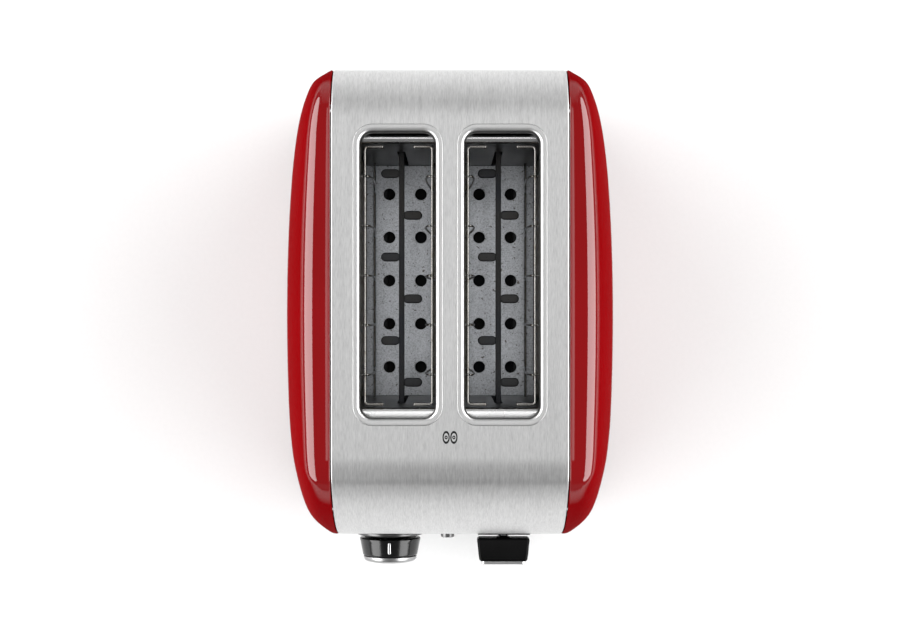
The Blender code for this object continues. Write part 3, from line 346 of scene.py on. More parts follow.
@dataclass(frozen=True)
class RedEnamel(Finish):
    """Deep gloss red over a smooth casting."""

    def paint(self, kit: ShaderKit) -> None:
        """Slight orange peel, a trace of depth in the colour and a clear coat.

        Args:
            kit: builder of the material.
        """
        peel = kit.noise((230.0, 230.0, 230.0), 2.0, 0.45)
        depth = kit.noise((11.0, 11.0, 11.0), 2.0)
        fleck = kit.noise((1900.0, 1900.0, 1900.0), 1.0)
        facing = kit.node("ShaderNodeLayerWeight", {}, {"Blend": 0.5}, "Facing")
        coat = kit.ramp(facing, [(0.0, grey(1.0)), (0.37, grey(1.0)), (0.48, grey(0.03)), (0.93, grey(0.03)),
                                 (0.99, grey(0.4))])
        colour = kit.ramp(depth * 0.85 + fleck * 0.15,
                          [(0.3, (0.122, 0.0001, 0.0006)), (0.7, (0.150, 0.0001, 0.0012))])
        kit.surface(colour, 0.24 + fleck * 0.05, 0.0, kit.bump(peel, 0.035, 0.0003),
                    Coat_Weight=coat, Coat_Roughness=0.03, Coat_IOR=1.55, Specular_IOR_Level=0.0)


@dataclass(frozen=True)
class MouldedPlastic(Finish):
    """Black moulded plastic with a fine spark grain and light rubbing."""

    tone: float = 0.010
    roughness: float = 0.24
    grain: float = 0.06
    coat: float = 0.0
    shine: float = 0.4

    def paint(self, kit: ShaderKit) -> None:
        """Spark grain, cloudy gloss and a few hairlines.

        Args:
            kit: builder of the material.
        """
        grain = kit.noise((2200.0, 2200.0, 2200.0), 2.0, 0.6)
        cloud = kit.noise((70.0, 70.0, 70.0), 3.0)
        hair = kit.noise((900.0, 40.0, 300.0), 2.0, 0.4, (0.7, 0.2, 0.0))
        t = self.tone
        colour = kit.ramp(cloud * 0.7 + grain * 0.3, [(0.3, grey(t * 0.75)), (0.7, (t * 1.3, t * 1.3, t * 1.36))])
        kit.surface(colour, self.roughness + cloud * 0.10 + hair * 0.05, 0.0,
                    kit.bump(grain, self.grain, 0.0001), Coat_Weight=self.coat, Coat_Roughness=0.05,
                    Specular_IOR_Level=self.shine)


@dataclass(frozen=True)
class TurnedMetal(Finish):
    """Satin metal turned about the Y axis at a place, or brushed straight."""

    tone: float = 0.60
    roughness: float = 0.26
    centre: Pair | None = None

    def paint(self, kit: ShaderKit) -> None:
        """Turning rings, or lines along X, with light haze.

        Args:
            kit: builder of the material.
        """
        if self.centre is None:
            lines = kit.noise((40.0, 1800.0, 1800.0), 2.0, 0.6)
        else:
            x, z = kit.axis(0) - self.centre[0], kit.axis(2) - self.centre[1]
            away = (x ** 2.0 + z ** 2.0) ** 0.5
            lines = kit.node("ShaderNodeTexNoise", {"noise_dimensions": "1D"},
                             {"W": away, "Scale": 2600.0, "Detail": 2.0, "Roughness": 0.6})
        haze = kit.noise((130.0, 130.0, 130.0), 3.0)
        t = self.tone
        colour = kit.ramp(lines, [(0.3, grey(t * 0.86)), (0.7, grey(min(1.0, t * 1.1)))])
        kit.surface(colour, self.roughness + lines * 0.08 + haze * 0.06, 1.0, kit.bump(lines, 0.12, 0.0001))


@dataclass(frozen=True)
class BrightWire(Finish):
    """Drawn nickel-plated wire."""

    tone: Colour = (0.34, 0.33, 0.31)

    def paint(self, kit: ShaderKit) -> None:
        """Drawing lines and small heat-dulled patches.

        Args:
            kit: builder of the material.
        """
        patch = kit.noise((220.0, 220.0, 220.0), 3.0)
        lines = kit.noise((3000.0, 300.0, 300.0), 1.0)
        dull = tuple(c * f for c, f in zip(self.tone, (0.62, 0.58, 0.52)))
        bright = tuple(min(1.0, c * 1.1) for c in self.tone)
        colour = kit.ramp(patch, [(0.28, dull), (0.45, self.tone), (0.8, bright)])
        kit.surface(colour, 0.17 + patch * 0.14, 1.0, kit.bump(lines, 0.06, 0.0001))


@dataclass(frozen=True)
class HeatedSteel(Finish):
    """Dark sheet or bar with straw and blue heat tints; where it is near-black it also stands in as painted shade
    deep inside.
    """

    tone: float = 0.10
    roughness: float = 0.30

    def paint(self, kit: ShaderKit) -> None:
        """Slow tints, rolling marks and baked-on specks.

        Args:
            kit: builder of the material.
        """
        tint = kit.noise((26.0, 26.0, 18.0), 3.0)
        lines = kit.noise((30.0, 30.0, 900.0), 2.0)
        speck = kit.noise((1300.0, 1300.0, 1300.0), 2.0).over(0.66)
        t = self.tone
        tints = kit.ramp(tint, [(0.25, (t * 0.8, t * 0.72, t * 0.66)), (0.5, grey(t)),
                                (0.75, (t * 0.86, t * 0.95, t * 1.18))])
        colour = kit.mix(speck * 0.5, tints, grey(t * 0.35))
        kit.surface(colour, self.roughness + tint * 0.12 + lines * 0.06, 0.92, kit.bump(lines, 0.10, 0.0001))


@dataclass(frozen=True)
class ZincSheet(Finish):
    """Galvanised sheet with crystal spangle."""

    tone: float = 0.44
    roughness: float = 0.34

    def paint(self, kit: ShaderKit) -> None:
        """Spangle cells of differing grey and sheen.

        Args:
            kit: builder of the material.
        """
        spangle = kit.node("ShaderNodeSeparateColor", {}, {"Color": kit.cells(190.0, "Color")}, 0)
        dust = kit.noise((500.0, 500.0, 500.0), 3.0)
        t = self.tone
        colour = kit.ramp(spangle * 0.7 + dust * 0.3,
                          [(0.1, (t * 0.78, t * 0.79, t * 0.81)), (0.9, (t * 1.2, t * 1.21, t * 1.24))])
        kit.surface(colour, self.roughness + spangle * 0.14, 1.0, kit.bump(spangle + dust * 0.3, 0.05, 0.0001))


@dataclass(frozen=True)
class SpeckledSheet(Finish):
    """Pale coated floor of the chamber with dark specks."""

    tone: Colour = (0.46, 0.475, 0.50)

    def paint(self, kit: ShaderKit) -> None:
        """Fine light and dark specks over a matt coat.

        Args:
            kit: builder of the material.
        """
        fine = kit.noise((1500.0, 1500.0, 1500.0), 3.0, 0.7)
        crumbs = kit.noise((420.0, 420.0, 420.0), 4.0, 0.6, (0.3, 0.1, 0.0)).over(0.64)
        dark = tuple(c * 0.45 for c in self.tone)
        light = tuple(min(0.95, c * 1.25) for c in self.tone)
        base = kit.ramp(fine, [(0.3, dark), (0.5, self.tone), (0.7, light)])
        colour = kit.mix(crumbs * 0.8, base, (0.05, 0.035, 0.02))
        kit.surface(colour, 0.24 + fine * 0.14, 0.95, kit.bump(fine, 0.12, 0.0001))


@dataclass(frozen=True)
class MicaSheet(Finish):
    """Layered mica board with silvery flakes and browned patches."""

    def paint(self, kit: ShaderKit) -> None:
        """Flakes at two sizes and slow browning.

        Args:
            kit: builder of the material.
        """
        flake = kit.node("ShaderNodeSeparateColor", {}, {"Color": kit.cells(620.0, "Color")}, 1)
        brown = kit.noise((30.0, 30.0, 30.0), 4.0)
        base = kit.ramp(flake, [(0.1, (0.30, 0.24, 0.155)), (0.6, (0.45, 0.38, 0.27)),
                                (0.95, (0.62, 0.56, 0.44))])
        colour = kit.mix(brown * 0.55, base, (0.13, 0.075, 0.035))
        kit.surface(colour, 0.30 + flake * 0.25, 0.1, kit.bump(flake, 0.12, 0.0001))


@dataclass(frozen=True)
class HeaterRibbon(Finish):
    """Oxidised resistance ribbon."""

    def paint(self, kit: ShaderKit) -> None:
        """Oxide mottling, blue to brown.

        Args:
            kit: builder of the material.
        """
        patch = kit.noise((260.0, 260.0, 260.0), 4.0)
        colour = kit.ramp(patch, [(0.3, (0.12, 0.10, 0.09)), (0.5, (0.27, 0.25, 0.24)),
                                  (0.72, (0.18, 0.20, 0.25))])
        kit.surface(colour, 0.34 + patch * 0.18, 0.95, kit.bump(patch, 0.08, 0.0001))


@dataclass(frozen=True)
class SoftRubber(Finish):
    """Matt moulded rubber."""

    def paint(self, kit: ShaderKit) -> None:
        """Fine mould texture and dust.

        Args:
            kit: builder of the material.
        """
        fine = kit.noise((1100.0, 1100.0, 1100.0), 3.0)
        dust = kit.noise((90.0, 90.0, 90.0), 4.0)
        colour = kit.ramp(fine * 0.4 + dust * 0.6, [(0.3, grey(0.013)), (0.75, (0.034, 0.033, 0.032))])
        kit.surface(colour, 0.62 + dust * 0.2, 0.0, kit.bump(fine, 0.25, 0.0001))


@dataclass(frozen=True)
class CircuitBoard(Finish):
    """Green lacquered board with copper tracks and pads."""

    def paint(self, kit: ShaderKit) -> None:
        """Tracks along Z and X, round pads, weave under the lacquer.

        Args:
            kit: builder of the material.
        """
        x, z = kit.axis(0), kit.axis(2)
        track = ((x * 260.0).fold() - 0.5).size().under(0.12)
        lane = ((z * 210.0).fold() - 0.5).size().under(0.10)
        gate = kit.noise((55.0, 55.0, 55.0), 0.0)
        pads = kit.cells(330.0).under(0.22)
        metal = (track * gate.over(0.52) + lane * gate.under(0.46) + pads).least(1.0)
        weave = kit.noise((2400.0, 300.0, 2400.0), 1.0)
        green = kit.ramp(weave, [(0.3, (0.006, 0.058, 0.022)), (0.7, (0.010, 0.085, 0.034))])
        colour = kit.mix(metal * 0.75, green, (0.20, 0.24, 0.07))
        kit.surface(colour, 0.30 + weave * 0.12, 0.15, kit.bump(metal, 0.3, 0.0001), Coat_Weight=0.5)


@dataclass(frozen=True)
class CopperWinding(Finish):
    """Lacquered copper wire wound in even layers about the Z axis."""

    def paint(self, kit: ShaderKit) -> None:
        """Turn lines, with the colour darkened between the turns: painted shade in the grooves.

        Args:
            kit: builder of the material.
        """
        turns = (kit.axis(2) * 12500.0).wave() * 0.5 + 0.5
        patch = kit.noise((300.0, 300.0, 300.0), 2.0)
        # Dark between the turns and bright on their crowns: painted shade and light of the round wire.
        colour = kit.ramp(turns * 0.8 + patch * 0.2,
                          [(0.15, (0.10, 0.028, 0.008)), (0.7, (0.56, 0.20, 0.075))])
        kit.surface(colour, 0.26 + patch * 0.12, 0.9, kit.bump(turns, 0.5, 0.0002))


@dataclass(frozen=True)
class StudioFloor(Finish):
    """Plain pale sweep under the object."""

    tone: float = 0.60

    def paint(self, kit: ShaderKit) -> None:
        """Very faint paper tooth.

        Args:
            kit: builder of the material.
        """
        tooth = kit.noise((400.0, 400.0, 400.0), 2.0)
        colour = kit.ramp(tooth, [(0.3, grey(self.tone * 0.985)), (0.7, grey(self.tone))])
        kit.surface(colour, 0.85, 0.0, kit.bump(tooth, 0.02, 0.0001), Specular_IOR_Level=0.1)


WRAP_STEEL = BrushedSteel("brushed_wrap", "brushed_steel", mark_y=-0.0558)
BORDER_STEEL = PolishedSteel("slot_border", "brushed_steel", 0.54, 0.36)
# bright copy of the end walls' dark steel: painted light on their rolled tops
LIT_ROLL_STEEL = PolishedSteel("painted_lit_flange", "dark_steel", 0.80, 0.22)
RED = RedEnamel("red_enamel", "red_enamel")
GLOSS_BLACK = MouldedPlastic("gloss_black", "black_plastic", 0.003, 0.15, 0.02, 0.0, 0.05)
KNOB_BLACK = MouldedPlastic("knob_black", "black_plastic", 0.003, 0.11, 0.02, 0.0, 0.4)
SATIN_BLACK = MouldedPlastic("satin_black", "black_plastic", 0.004, 0.26, 0.06, 0.0, 0.12)
TRAY_BLACK = MouldedPlastic("tray_black", "black_plastic", 0.013, 0.38, 0.12)
# Near-black heated steel; on the slot collars and end walls its darkness is also painted shade.
CHAMBER_STEEL = HeatedSteel("chamber_steel", "dark_steel", 0.06, 0.26)
# Near-black: partly heat colour, partly painted shade of the racks low in the slots.
RACK_STEEL = HeatedSteel("rack_steel", "dark_steel", 0.060, 0.34)
ZINC = ZincSheet("zinc_sheet", "zinc_sheet")
FLOOR_COAT = SpeckledSheet("speckled_floor", "zinc_sheet")
WIRE = BrightWire("bright_wire", "bright_wire")
MICA = MicaSheet("mica_board", "mica")
RIBBON = HeaterRibbon("heater_ribbon", "nichrome")
RUBBER = SoftRubber("soft_rubber", "rubber")
BOARD = CircuitBoard("circuit_board", "circuit_board")
COPPER = CopperWinding("copper_winding", "copper")
SATIN = TurnedMetal("satin_straight", "satin_metal")
STUDIO = StudioFloor("studio_floor", "")


# ---------------------------------------------------------------- mesh building
class Plane(Enum):
    """Plane that an outline is drawn in, and how its points become places."""

    XY = "xy"
    XZ = "xz"
    YZ = "yz"

    def at(self, u: float, v: float, depth: float) -> Vector:
        """The place of an outline's point at a depth across the plane.

        Args:
            u: first coordinate in the plane.
            v: second coordinate in the plane.
            depth: place across the plane.

        Returns:
            The place.
        """
        if self is Plane.XY:
            return Vector((u, v, depth))
        if self is Plane.XZ:
            return Vector((u, depth, v))
        return Vector((depth, u, v))


def rounded(x0: float, x1: float, y0: float, y1: float, radius: float, steps: int = 8) -> list[Pair]:
    """Outline of a rectangle with rounded corners, anticlockwise.

    Args:
        x0: left side.
        x1: right side.
        y0: lower side.
        y1: upper side.
        radius: corner radius.
        steps: edges to a corner.

    Returns:
        The points.
    """
    corners = ((x1 - radius, y1 - radius, 0), (x0 + radius, y1 - radius, 90),
               (x0 + radius, y0 + radius, 180), (x1 - radius, y0 + radius, 270))
    points = []
    for cx, cy, start in corners:
        for step in range(steps + 1):
            angle = math.radians(start + 90 * step / steps)
            points.append((cx + radius * math.cos(angle), cy + radius * math.sin(angle)))
    return points


def circle(cx: float, cy: float, radius: float, steps: int = 32) -> list[Pair]:
    """Outline of a circle."""
    turns = [2 * math.pi * k / steps for k in range(steps)]
    return [(cx + radius * math.cos(a), cy + radius * math.sin(a)) for a in turns]


def spread(low: float, high: float, count: int, margin: float) -> list[float]:
    """Even places between two ends with a margin at both."""
    return [low + margin + (high - low - 2 * margin) * k / (count - 1) for k in range(count)]


def ring_faces(bm: bmesh.types.BMesh, rings: list[list[bmesh.types.BMVert]], wrap_rings: bool = False,
               wrap_points: bool = True) -> None:
    """Joins rings of equal length with quads.

    Args:
        bm: mesh that holds them.
        rings: the rings, in order.
        wrap_rings: also join the last ring to the first.
        wrap_points: also join each ring's end to its start.
    """
    following = rings[1:] + rings[:1] if wrap_rings else rings[1:]
    for ring, other in zip(rings, following):
        last = len(ring) if wrap_points else len(ring) - 1
        for k in range(last):
            n = (k + 1) % len(ring)
            corners = [ring[k], other[k], other[n], ring[n]]
            if len(set(corners)) > 2:
                bm.faces.new(list(dict.fromkeys(corners)))


def capped(bm: bmesh.types.BMesh, rings: list[list[bmesh.types.BMVert]]) -> None:
    """Joins rings into a solid that is closed at both ends.

    Args:
        bm: mesh that holds them.
        rings: the rings, in order.
    """
    ring_faces(bm, rings)
    bm.faces.new(rings[0])
    bm.faces.new(rings[-1])
    bmesh.ops.recalc_face_normals(bm, faces=bm.faces)


def stack(bm: bmesh.types.BMesh, plane: Plane, layers: Iterable[tuple[list[Pair], float]]) -> None:
    """Closed solid through outlines at rising depths across a plane."""
    capped(bm, [[bm.verts.new(plane.at(u, v, depth)) for u, v in loop] for loop, depth in layers])


def extrude(bm: bmesh.types.BMesh, loops: list[list[Pair]], plane: Plane, low: float, high: float) -> None:
    """Solid between two depths from an outline and its holes.

    Args:
        bm: mesh to add to.
        loops: the outline and its holes.
        plane: plane they are drawn in.
        low: lower depth.
        high: upper depth.
    """
    for depth in (low, high):
        edges = []
        for loop in loops:
            verts = [bm.verts.new(plane.at(u, v, depth)) for u, v in loop]
            edges += [bm.edges.new((verts[k], verts[(k + 1) % len(verts)])) for k in range(len(verts))]
        bmesh.ops.triangle_fill(bm, edges=edges, use_beauty=True)
    for loop in loops:
        sides = [[bm.verts.new(plane.at(u, v, depth)) for u, v in loop] for depth in (low, high)]
        ring_faces(bm, sides)
    bmesh.ops.remove_doubles(bm, verts=bm.verts, dist=WELD)
    bmesh.ops.recalc_face_normals(bm, faces=bm.faces)


def lathe(bm: bmesh.types.BMesh, profile: list[Pair], place: Point, steps: int = 96, upright: bool = False) -> None:
    """Turns (radius, reach) points about the axis towards -Y, or up Z if upright.

    Args:
        bm: mesh to add to.
        profile: the points.
        place: where reach is zero.
        steps: facets round the axis.
        upright: whether the axis is Z.
    """
    centre = Vector(place)
    rings = []
    for radius, reach in profile:
        if radius <= 0:
            tip = centre + (Vector((0, 0, reach)) if upright else Vector((0, -reach, 0)))
            rings.append([bm.verts.new(tip)] * steps)
            continue
        ring = []
        for u, v in circle(0, 0, radius, steps):
            ring.append(bm.verts.new(centre + (Vector((u, v, reach)) if upright else Vector((u, -reach, v)))))
        rings.append(ring)
    for ring, other in zip(rings, rings[1:]):
        for k in range(steps):
            n = (k + 1) % steps
            corners = list(dict.fromkeys([ring[k], other[k], other[n], ring[n]]))
            if len(corners) > 2:
                bm.faces.new(corners)
    bmesh.ops.recalc_face_normals(bm, faces=bm.faces)


def tube(bm: bmesh.types.BMesh, points: Sequence[Point], radius: float, sides: int = 12, tip: float = 1.0) -> None:
    """Round wire along points with rounded ends; tip swells the ends.

    Args:
        bm: mesh to add to.
        points: the wire's centre line.
        radius: half its thickness.
        sides: facets round it.
        tip: share of the radius at the ends.
    """
    path = [Vector(p) for p in points]
    normal = Vector((0.0, 0.0, 1.0))
    rings = []
    for k, place in enumerate(path):
        ahead = (path[min(k + 1, len(path) - 1)] - path[max(k - 1, 0)]).normalized()
        if k == 0 and abs(ahead.dot(normal)) > 0.9:
            normal = Vector((1.0, 0.0, 0.0))
        normal = (normal - ahead * normal.dot(ahead)).normalized()
        side = ahead.cross(normal)

        def ring(centre: Vector, size: float, n: Vector = normal, s: Vector = side) -> list[bmesh.types.BMVert]:
            """One ring of the wire."""
            return [bm.verts.new(centre + (n * u + s * v)) for u, v in circle(0, 0, size, sides)]
        ends = []
        if k in (0, len(path) - 1):
            way = -1 if k == 0 else 1
            for angle in (78, 55, 28):
                a = math.radians(angle)
                ends.append(ring(place + ahead * way * radius * tip * math.sin(a), radius * tip * math.cos(a)))
        if k == 0:
            rings += ends
        rings.append(ring(place, radius * (tip if ends else 1.0)))
        if k and ends:
            rings += ends[::-1]
    capped(bm, rings)


def smooth_path(points: Sequence[Point], steps: int = 4) -> list[Point]:
    """Catmull-Rom curve through points.

    Args:
        points: places on the curve.
        steps: parts between two places.

    Returns:
        Places along the curve.
    """
    path = [Vector(p) for p in points]
    path = [path[0] * 2 - path[1]] + path + [path[-1] * 2 - path[-2]]
    found = []
    for a, b, c, d in zip(path, path[1:], path[2:], path[3:]):
        for step in range(steps):
            t = step / steps
            found.append(tuple(0.5 * (2 * b + (c - a) * t + (2 * a - 5 * b + 4 * c - d) * t * t
                                      + (3 * b - a - 3 * c + d) * t ** 3)))
    return found + [tuple(path[-2])]


class Piece:
    """A mesh under construction that becomes one named, dressed piece."""

    def __init__(self, name: str, finish: Finish) -> None:
        """Starts an empty piece."""
        self.name, self.finish = name, finish
        self.bm = bmesh.new()

    def publish(self, body: str = "root", replaces: Iterable[str] = (), bevel: float = 0.0, sharp: float = 32.0,
                cutters: Sequence[bpy.types.Object] = ()) -> bpy.types.Object:
        """Makes the object, dresses it, hangs it under its body and hides the frame nodes it stands for.

        Args:
            body: the body it moves with.
            replaces: frame nodes it stands for.
            bevel: width of a rounded edge.
            sharp: edges over this angle, in degrees, stay crisp.
            cutters: solids to take away from it.

        Returns:
            The object.
        """
        made = as_object(self.name, self.bm)
        for tool in cutters:
            change = made.modifiers.new("cut", "BOOLEAN")
            change.operation, change.solver, change.object = "DIFFERENCE", "EXACT", tool
        if cutters:
            bpy.context.view_layer.update()
            solid = bpy.data.meshes.new_from_object(made.evaluated_get(bpy.context.evaluated_depsgraph_get()))
            made.modifiers.clear()
            made.data = solid
            for tool in cutters:
                bpy.data.objects.remove(tool)
        made.data.materials.clear()
        made.data.materials.append(self.finish.material())
        made.data.polygons.foreach_set("use_smooth", [True] * len(made.data.polygons))
        made.data.set_sharp_from_angle(angle=math.radians(sharp))
        if bevel:
            edge = made.modifiers.new("edge", "BEVEL")
            edge.width, edge.segments, edge.limit_method = bevel, 3, "ANGLE"
            edge.angle_limit = math.radians(sharp)
            edge.harden_normals = True
        even = made.modifiers.new("even", "WEIGHTED_NORMAL")
        even.keep_sharp = True
        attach(made, body)
        if replaces:
            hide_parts(*replaces)
        LOG.info("%s: %d faces", self.name, len(made.data.polygons))
        return made


def as_object(name: str, bm: bmesh.types.BMesh) -> bpy.types.Object:
    """Links a mesh to the scene as an object.

    Args:
        name: its name.
        bm: the mesh, freed afterwards.

    Returns:
        The object.
    """
    mesh = bpy.data.meshes.new(name)
    bm.to_mesh(mesh)
    bm.free()
    made = bpy.data.objects.new(name, mesh)
    bpy.context.scene.collection.objects.link(made)
    return made


def cutter(build: Callable[[bmesh.types.BMesh], None]) -> bpy.types.Object:
    """A solid that is only used to cut others.

    Args:
        build: fills the empty mesh.

    Returns:
        The solid.
    """
    bm = bmesh.new()
    build(bm)
    return as_object("cutter", bm)


def prism(loops: list[list[Pair]], plane: Plane, low: float, high: float) -> bpy.types.Object:
    """A cutter from an outline."""
    return cutter(lambda bm: extrude(bm, loops, plane, low, high))


def middle(node: str) -> Vector:
    """Middle of a frame node's box."""
    low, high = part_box(node)
    return (low + high) / 2


# ---------------------------------------------------------------- casing
@dataclass
class Casing:
    """Steel wrap with its slot borders, and the two bulged side covers."""

    rear_roll: float = 0.034
    flat_back: float = 0.0493
    roll_run: float = 0.013
    roll_drop: float = 0.0025
    nose_height: float = 0.0985
    sheet: float = 0.001
    slot_x: float = 0.027
    slot_y: float = 0.028
    slot_width: float = 0.0389
    slot_length: float = 0.148
    slot_corner: float = 0.0065
    border: float = 0.0040
    # depth below the top where the collar turns to near-black steel as painted shade
    painted_shade_depth: float = 0.0020
    spine_drop: float = 0.100
    bulge_reach: float = 0.075
    bulge_power: float = 0.29
    settle_from: float = 0.050
    settle_to: float = 0.094
    barrel_peak: float = 1.065
    barrel_y: float = 0.012
    barrel_fall: float = 15.6
    rear_taper: float = 0.19
    rear_taper_run: float = 0.035
    rear_round: float = 0.52
    rear_round_run: float = 0.0042
    front_round: float = 0.50
    front_round_run: float = 0.009
    barrel_fade: float = 0.070
    smoothing: float = 0.38
    casting: float = 0.0018
    seam_round: float = 0.0009
    hem: float = 0.0007

    def __post_init__(self) -> None:
        """Reads the casing's limits from the frame."""
        low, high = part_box("outer_wrap")
        self.front, self.rear, self.skirt, self.top, self.half = low.y, high.y, low.z, high.z, high.x
        self.seam, self.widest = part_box("side_cover_right")[0].x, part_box("side_cover_right")[1].x
        self.spine_y, self.spine_z = (self.front + self.rear) / 2, self.top - self.spine_drop

    def outline(self, wall_steps: int = 12) -> list[Pair]:
        """(y, z) points from the rear foot over the top to the front foot.

        Args:
            wall_steps: parts of an upright wall.

        Returns:
            The points.
        """
        walls = [self.skirt + (self.spine_z - self.skirt) * k / wall_steps for k in range(wall_steps + 1)]
        points = [(self.rear, z) for z in walls]
        roll, steps = self.rear_roll, 20
        rise = self.top - roll
        points += [(self.rear, self.spine_z + (rise - self.spine_z) * k / 6) for k in range(1, 6)]
        for k in range(steps + 1):
            angle = math.radians(90 * k / steps)
            points.append((self.rear - roll + roll * math.cos(angle), rise + roll * math.sin(angle)))
        flat_end = self.front + self.flat_back
        points += [(self.rear - roll + (flat_end - self.rear + roll) * k / 16, self.top) for k in range(1, 17)]
        points += [(flat_end - self.roll_run * k / 6, self.top - self.roll_drop * (k / 6) ** 2) for k in range(1, 7)]
        points += self.nose(points[-1], 24)
        nose_z = self.top - self.nose_height
        points.append((self.front, nose_z + (self.spine_z - nose_z) / 2))
        return points + [(self.front, z) for z in reversed(walls)]

    def nose(self, crease: Pair, steps: int) -> list[Pair]:
        """Convex curve from the crease to the upright front wall.

        Args:
            crease: where it starts.
            steps: parts of the curve.

        Returns:
            Its points without the first.
        """
        start, end = Vector(crease), Vector((self.front, self.top - self.nose_height))
        run, fall = start.x - end.x, start.y - end.y
        handles = (start, start + Vector((-0.52 * run, -0.16 * fall)), end + Vector((0, 0.52 * fall)), end)
        found = []
        for k in range(1, steps + 1):
            t = k / steps
            weights = ((1 - t) ** 3, 3 * t * (1 - t) ** 2, 3 * t * t * (1 - t), t ** 3)
            place = sum((w * h for w, h in zip(weights, handles)), Vector((0, 0)))
            found.append((place.x, place.y))
        return found

    def slot_loop(self, side: int, out: float) -> list[Pair]:
        """Outline of one bread slot, grown by a distance."""
        x, half_x, half_y = side * self.slot_x, self.slot_width / 2 + out, self.slot_length / 2 + out
        return rounded(x - half_x, x + half_x, self.slot_y - half_y, self.slot_y + half_y, self.slot_corner + out, 12)

    def build_wrap(self) -> None:
        """Bent sheet with rounded side hems and every opening cut, standing for the frame's wrap."""
        piece = Piece("steel_wrap", WRAP_STEEL)
        outline = self.outline()
        turns = [math.radians(a) for a in (0, 22.5, 45, 67.5, 90)]
        hem = [(self.half - self.hem * (1 - math.cos(a)), self.hem * (1 - math.sin(a))) for a in turns]
        across = ([(self.half, self.sheet)] + hem + [(-x, inset) for x, inset in reversed(hem)]
                  + [(-self.half, self.sheet)])
        lines = {inset: self.offset(outline, inset) for _, inset in across}
        rings = [[piece.bm.verts.new((x, *lines[inset][k])) for x, inset in across] for k in range(len(outline))]
        ring_faces(piece.bm, rings)
        piece.bm.faces.new(rings[0])
        piece.bm.faces.new(rings[-1])
        bmesh.ops.recalc_face_normals(piece.bm, faces=piece.bm.faces)
        piece.publish(replaces=["outer_wrap"], cutters=self.openings(), sharp=50)

    def offset(self, points: list[Pair], inset: float) -> list[Pair]:
        """The outline drawn in by a distance along its normals.

        Args:
            points: the outline.
            inset: the distance.

        Returns:
            The new points.
        """
        found = []
        for k, here in enumerate(points):
            a, b = Vector(points[max(k - 1, 0)]), Vector(points[min(k + 1, len(points) - 1)])
            along = (b - a).normalized()
            found.append((here[0] - along.y * inset, here[1] + along.x * inset))
        return found

    def openings(self) -> list[bpy.types.Object]:
        """Cutters for the slots, the controls, the tray and the cord.

        Returns:
            The cutters.
        """
        slots = [self.slot_loop(side, self.border - LAP) for side in (-1, 1)]
        low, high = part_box("lever_bezel")
        lever = rounded(low.x - HAIR, high.x + HAIR, low.z - HAIR, high.z + HAIR, 0.0053)
        low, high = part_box("button_panel")
        panel = rounded(low.x - HAIR, high.x + HAIR, low.z - HAIR, high.z + HAIR, 0.0064)
        knob = middle("shade_knob")
        tray_low, tray_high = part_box("crumb_tray_handle")
        tray = rounded(tray_low.x - 0.0008, tray_high.x + 0.0008, 0.0, tray_high.z + 0.0012, 0.0012, 3)
        gland = middle("cord_gland")
        front = (self.front - 0.012, self.front + 0.030)
        rear = (self.rear - 0.012, self.rear + 0.010)
        return [prism(slots, Plane.XY, self.top - 0.010, self.top + 0.010), prism([lever], Plane.XZ, *front),
                prism([panel], Plane.XZ, *front), prism([circle(knob.x, knob.z, 0.0055, 40)], Plane.XZ, *front),
                prism([tray], Plane.XZ, *rear), prism([circle(gland.x, gland.z, 0.0063, 48)], Plane.XZ, *rear)]

    def build_border(self, side: int, name: str) -> None:
        """Polished rolled border that turns down into a slot's collar; the collar below a small depth is painted
        near-black as shade.

        Args:
            side: -1 left, 1 right.
            name: name of the piece.
        """
        top = self.top
        profile = [(3.75, 0.75), (3.80, 0.22), (3.68, 0.08), (3.45, 0.02), (3.1, 0.0), (2.5, 0.0), (1.9, 0.05),
                   (1.35, 0.19), (0.85, 0.48), (0.45, 0.95), (0.15, 1.65), (0.0, 2.6), (0.0, 7.0), (0.0, 12.0),
                   (0.7, 12.0), (0.7, 7.0), (0.7, 2.7), (1.1, 1.6), (1.9, 0.95), (2.9, 0.75)]
        piece = Piece(name, BORDER_STEEL)
        rings = [[piece.bm.verts.new((x, y, top - drop * MM)) for x, y in self.slot_loop(side, out * MM)]
                 for out, drop in profile]
        ring_faces(piece.bm, rings, wrap_rings=True)
        bmesh.ops.recalc_face_normals(piece.bm, faces=piece.bm.faces)
        made = piece.publish(sharp=40)
        # Faces more than a small depth below the top take the near-black chamber steel: painted shade down the collar
        # inside the slot.
        made.data.materials.append(CHAMBER_STEEL.material())
        for part in made.data.polygons:
            part.material_index = int(part.center.z < top - self.painted_shade_depth)

    def bulge(self, depth: np.ndarray) -> np.ndarray:
        """Half width at distances inside the outline, settling to a level middle.

        Args:
            depth: the distances.

        Returns:
            The half widths.
        """
        def shape(d: np.ndarray) -> np.ndarray:
            """The plain bulge."""
            share = 1 - np.clip(d, 0, self.bulge_reach) / self.bulge_reach
            return self.seam + full * (1 - share ** 2) ** self.bulge_power
        a, b = self.settle_from, self.settle_to
        full = (self.widest - self.seam) / self.barrel_peak
        step = 1e-5
        slope = float((shape(np.array([a + step])) - shape(np.array([a - step])))[0] / (2 * step))
        start, end = float(shape(np.array([a]))[0]), self.seam + full
        t = np.clip((depth - a) / (b - a), 0, 1)
        settled = ((2 * t ** 3 - 3 * t ** 2 + 1) * start + (t ** 3 - 2 * t ** 2 + t) * slope * (b - a)
                   + (3 * t ** 2 - 2 * t ** 3) * end)
        return np.where(depth < a, shape(depth), settled)

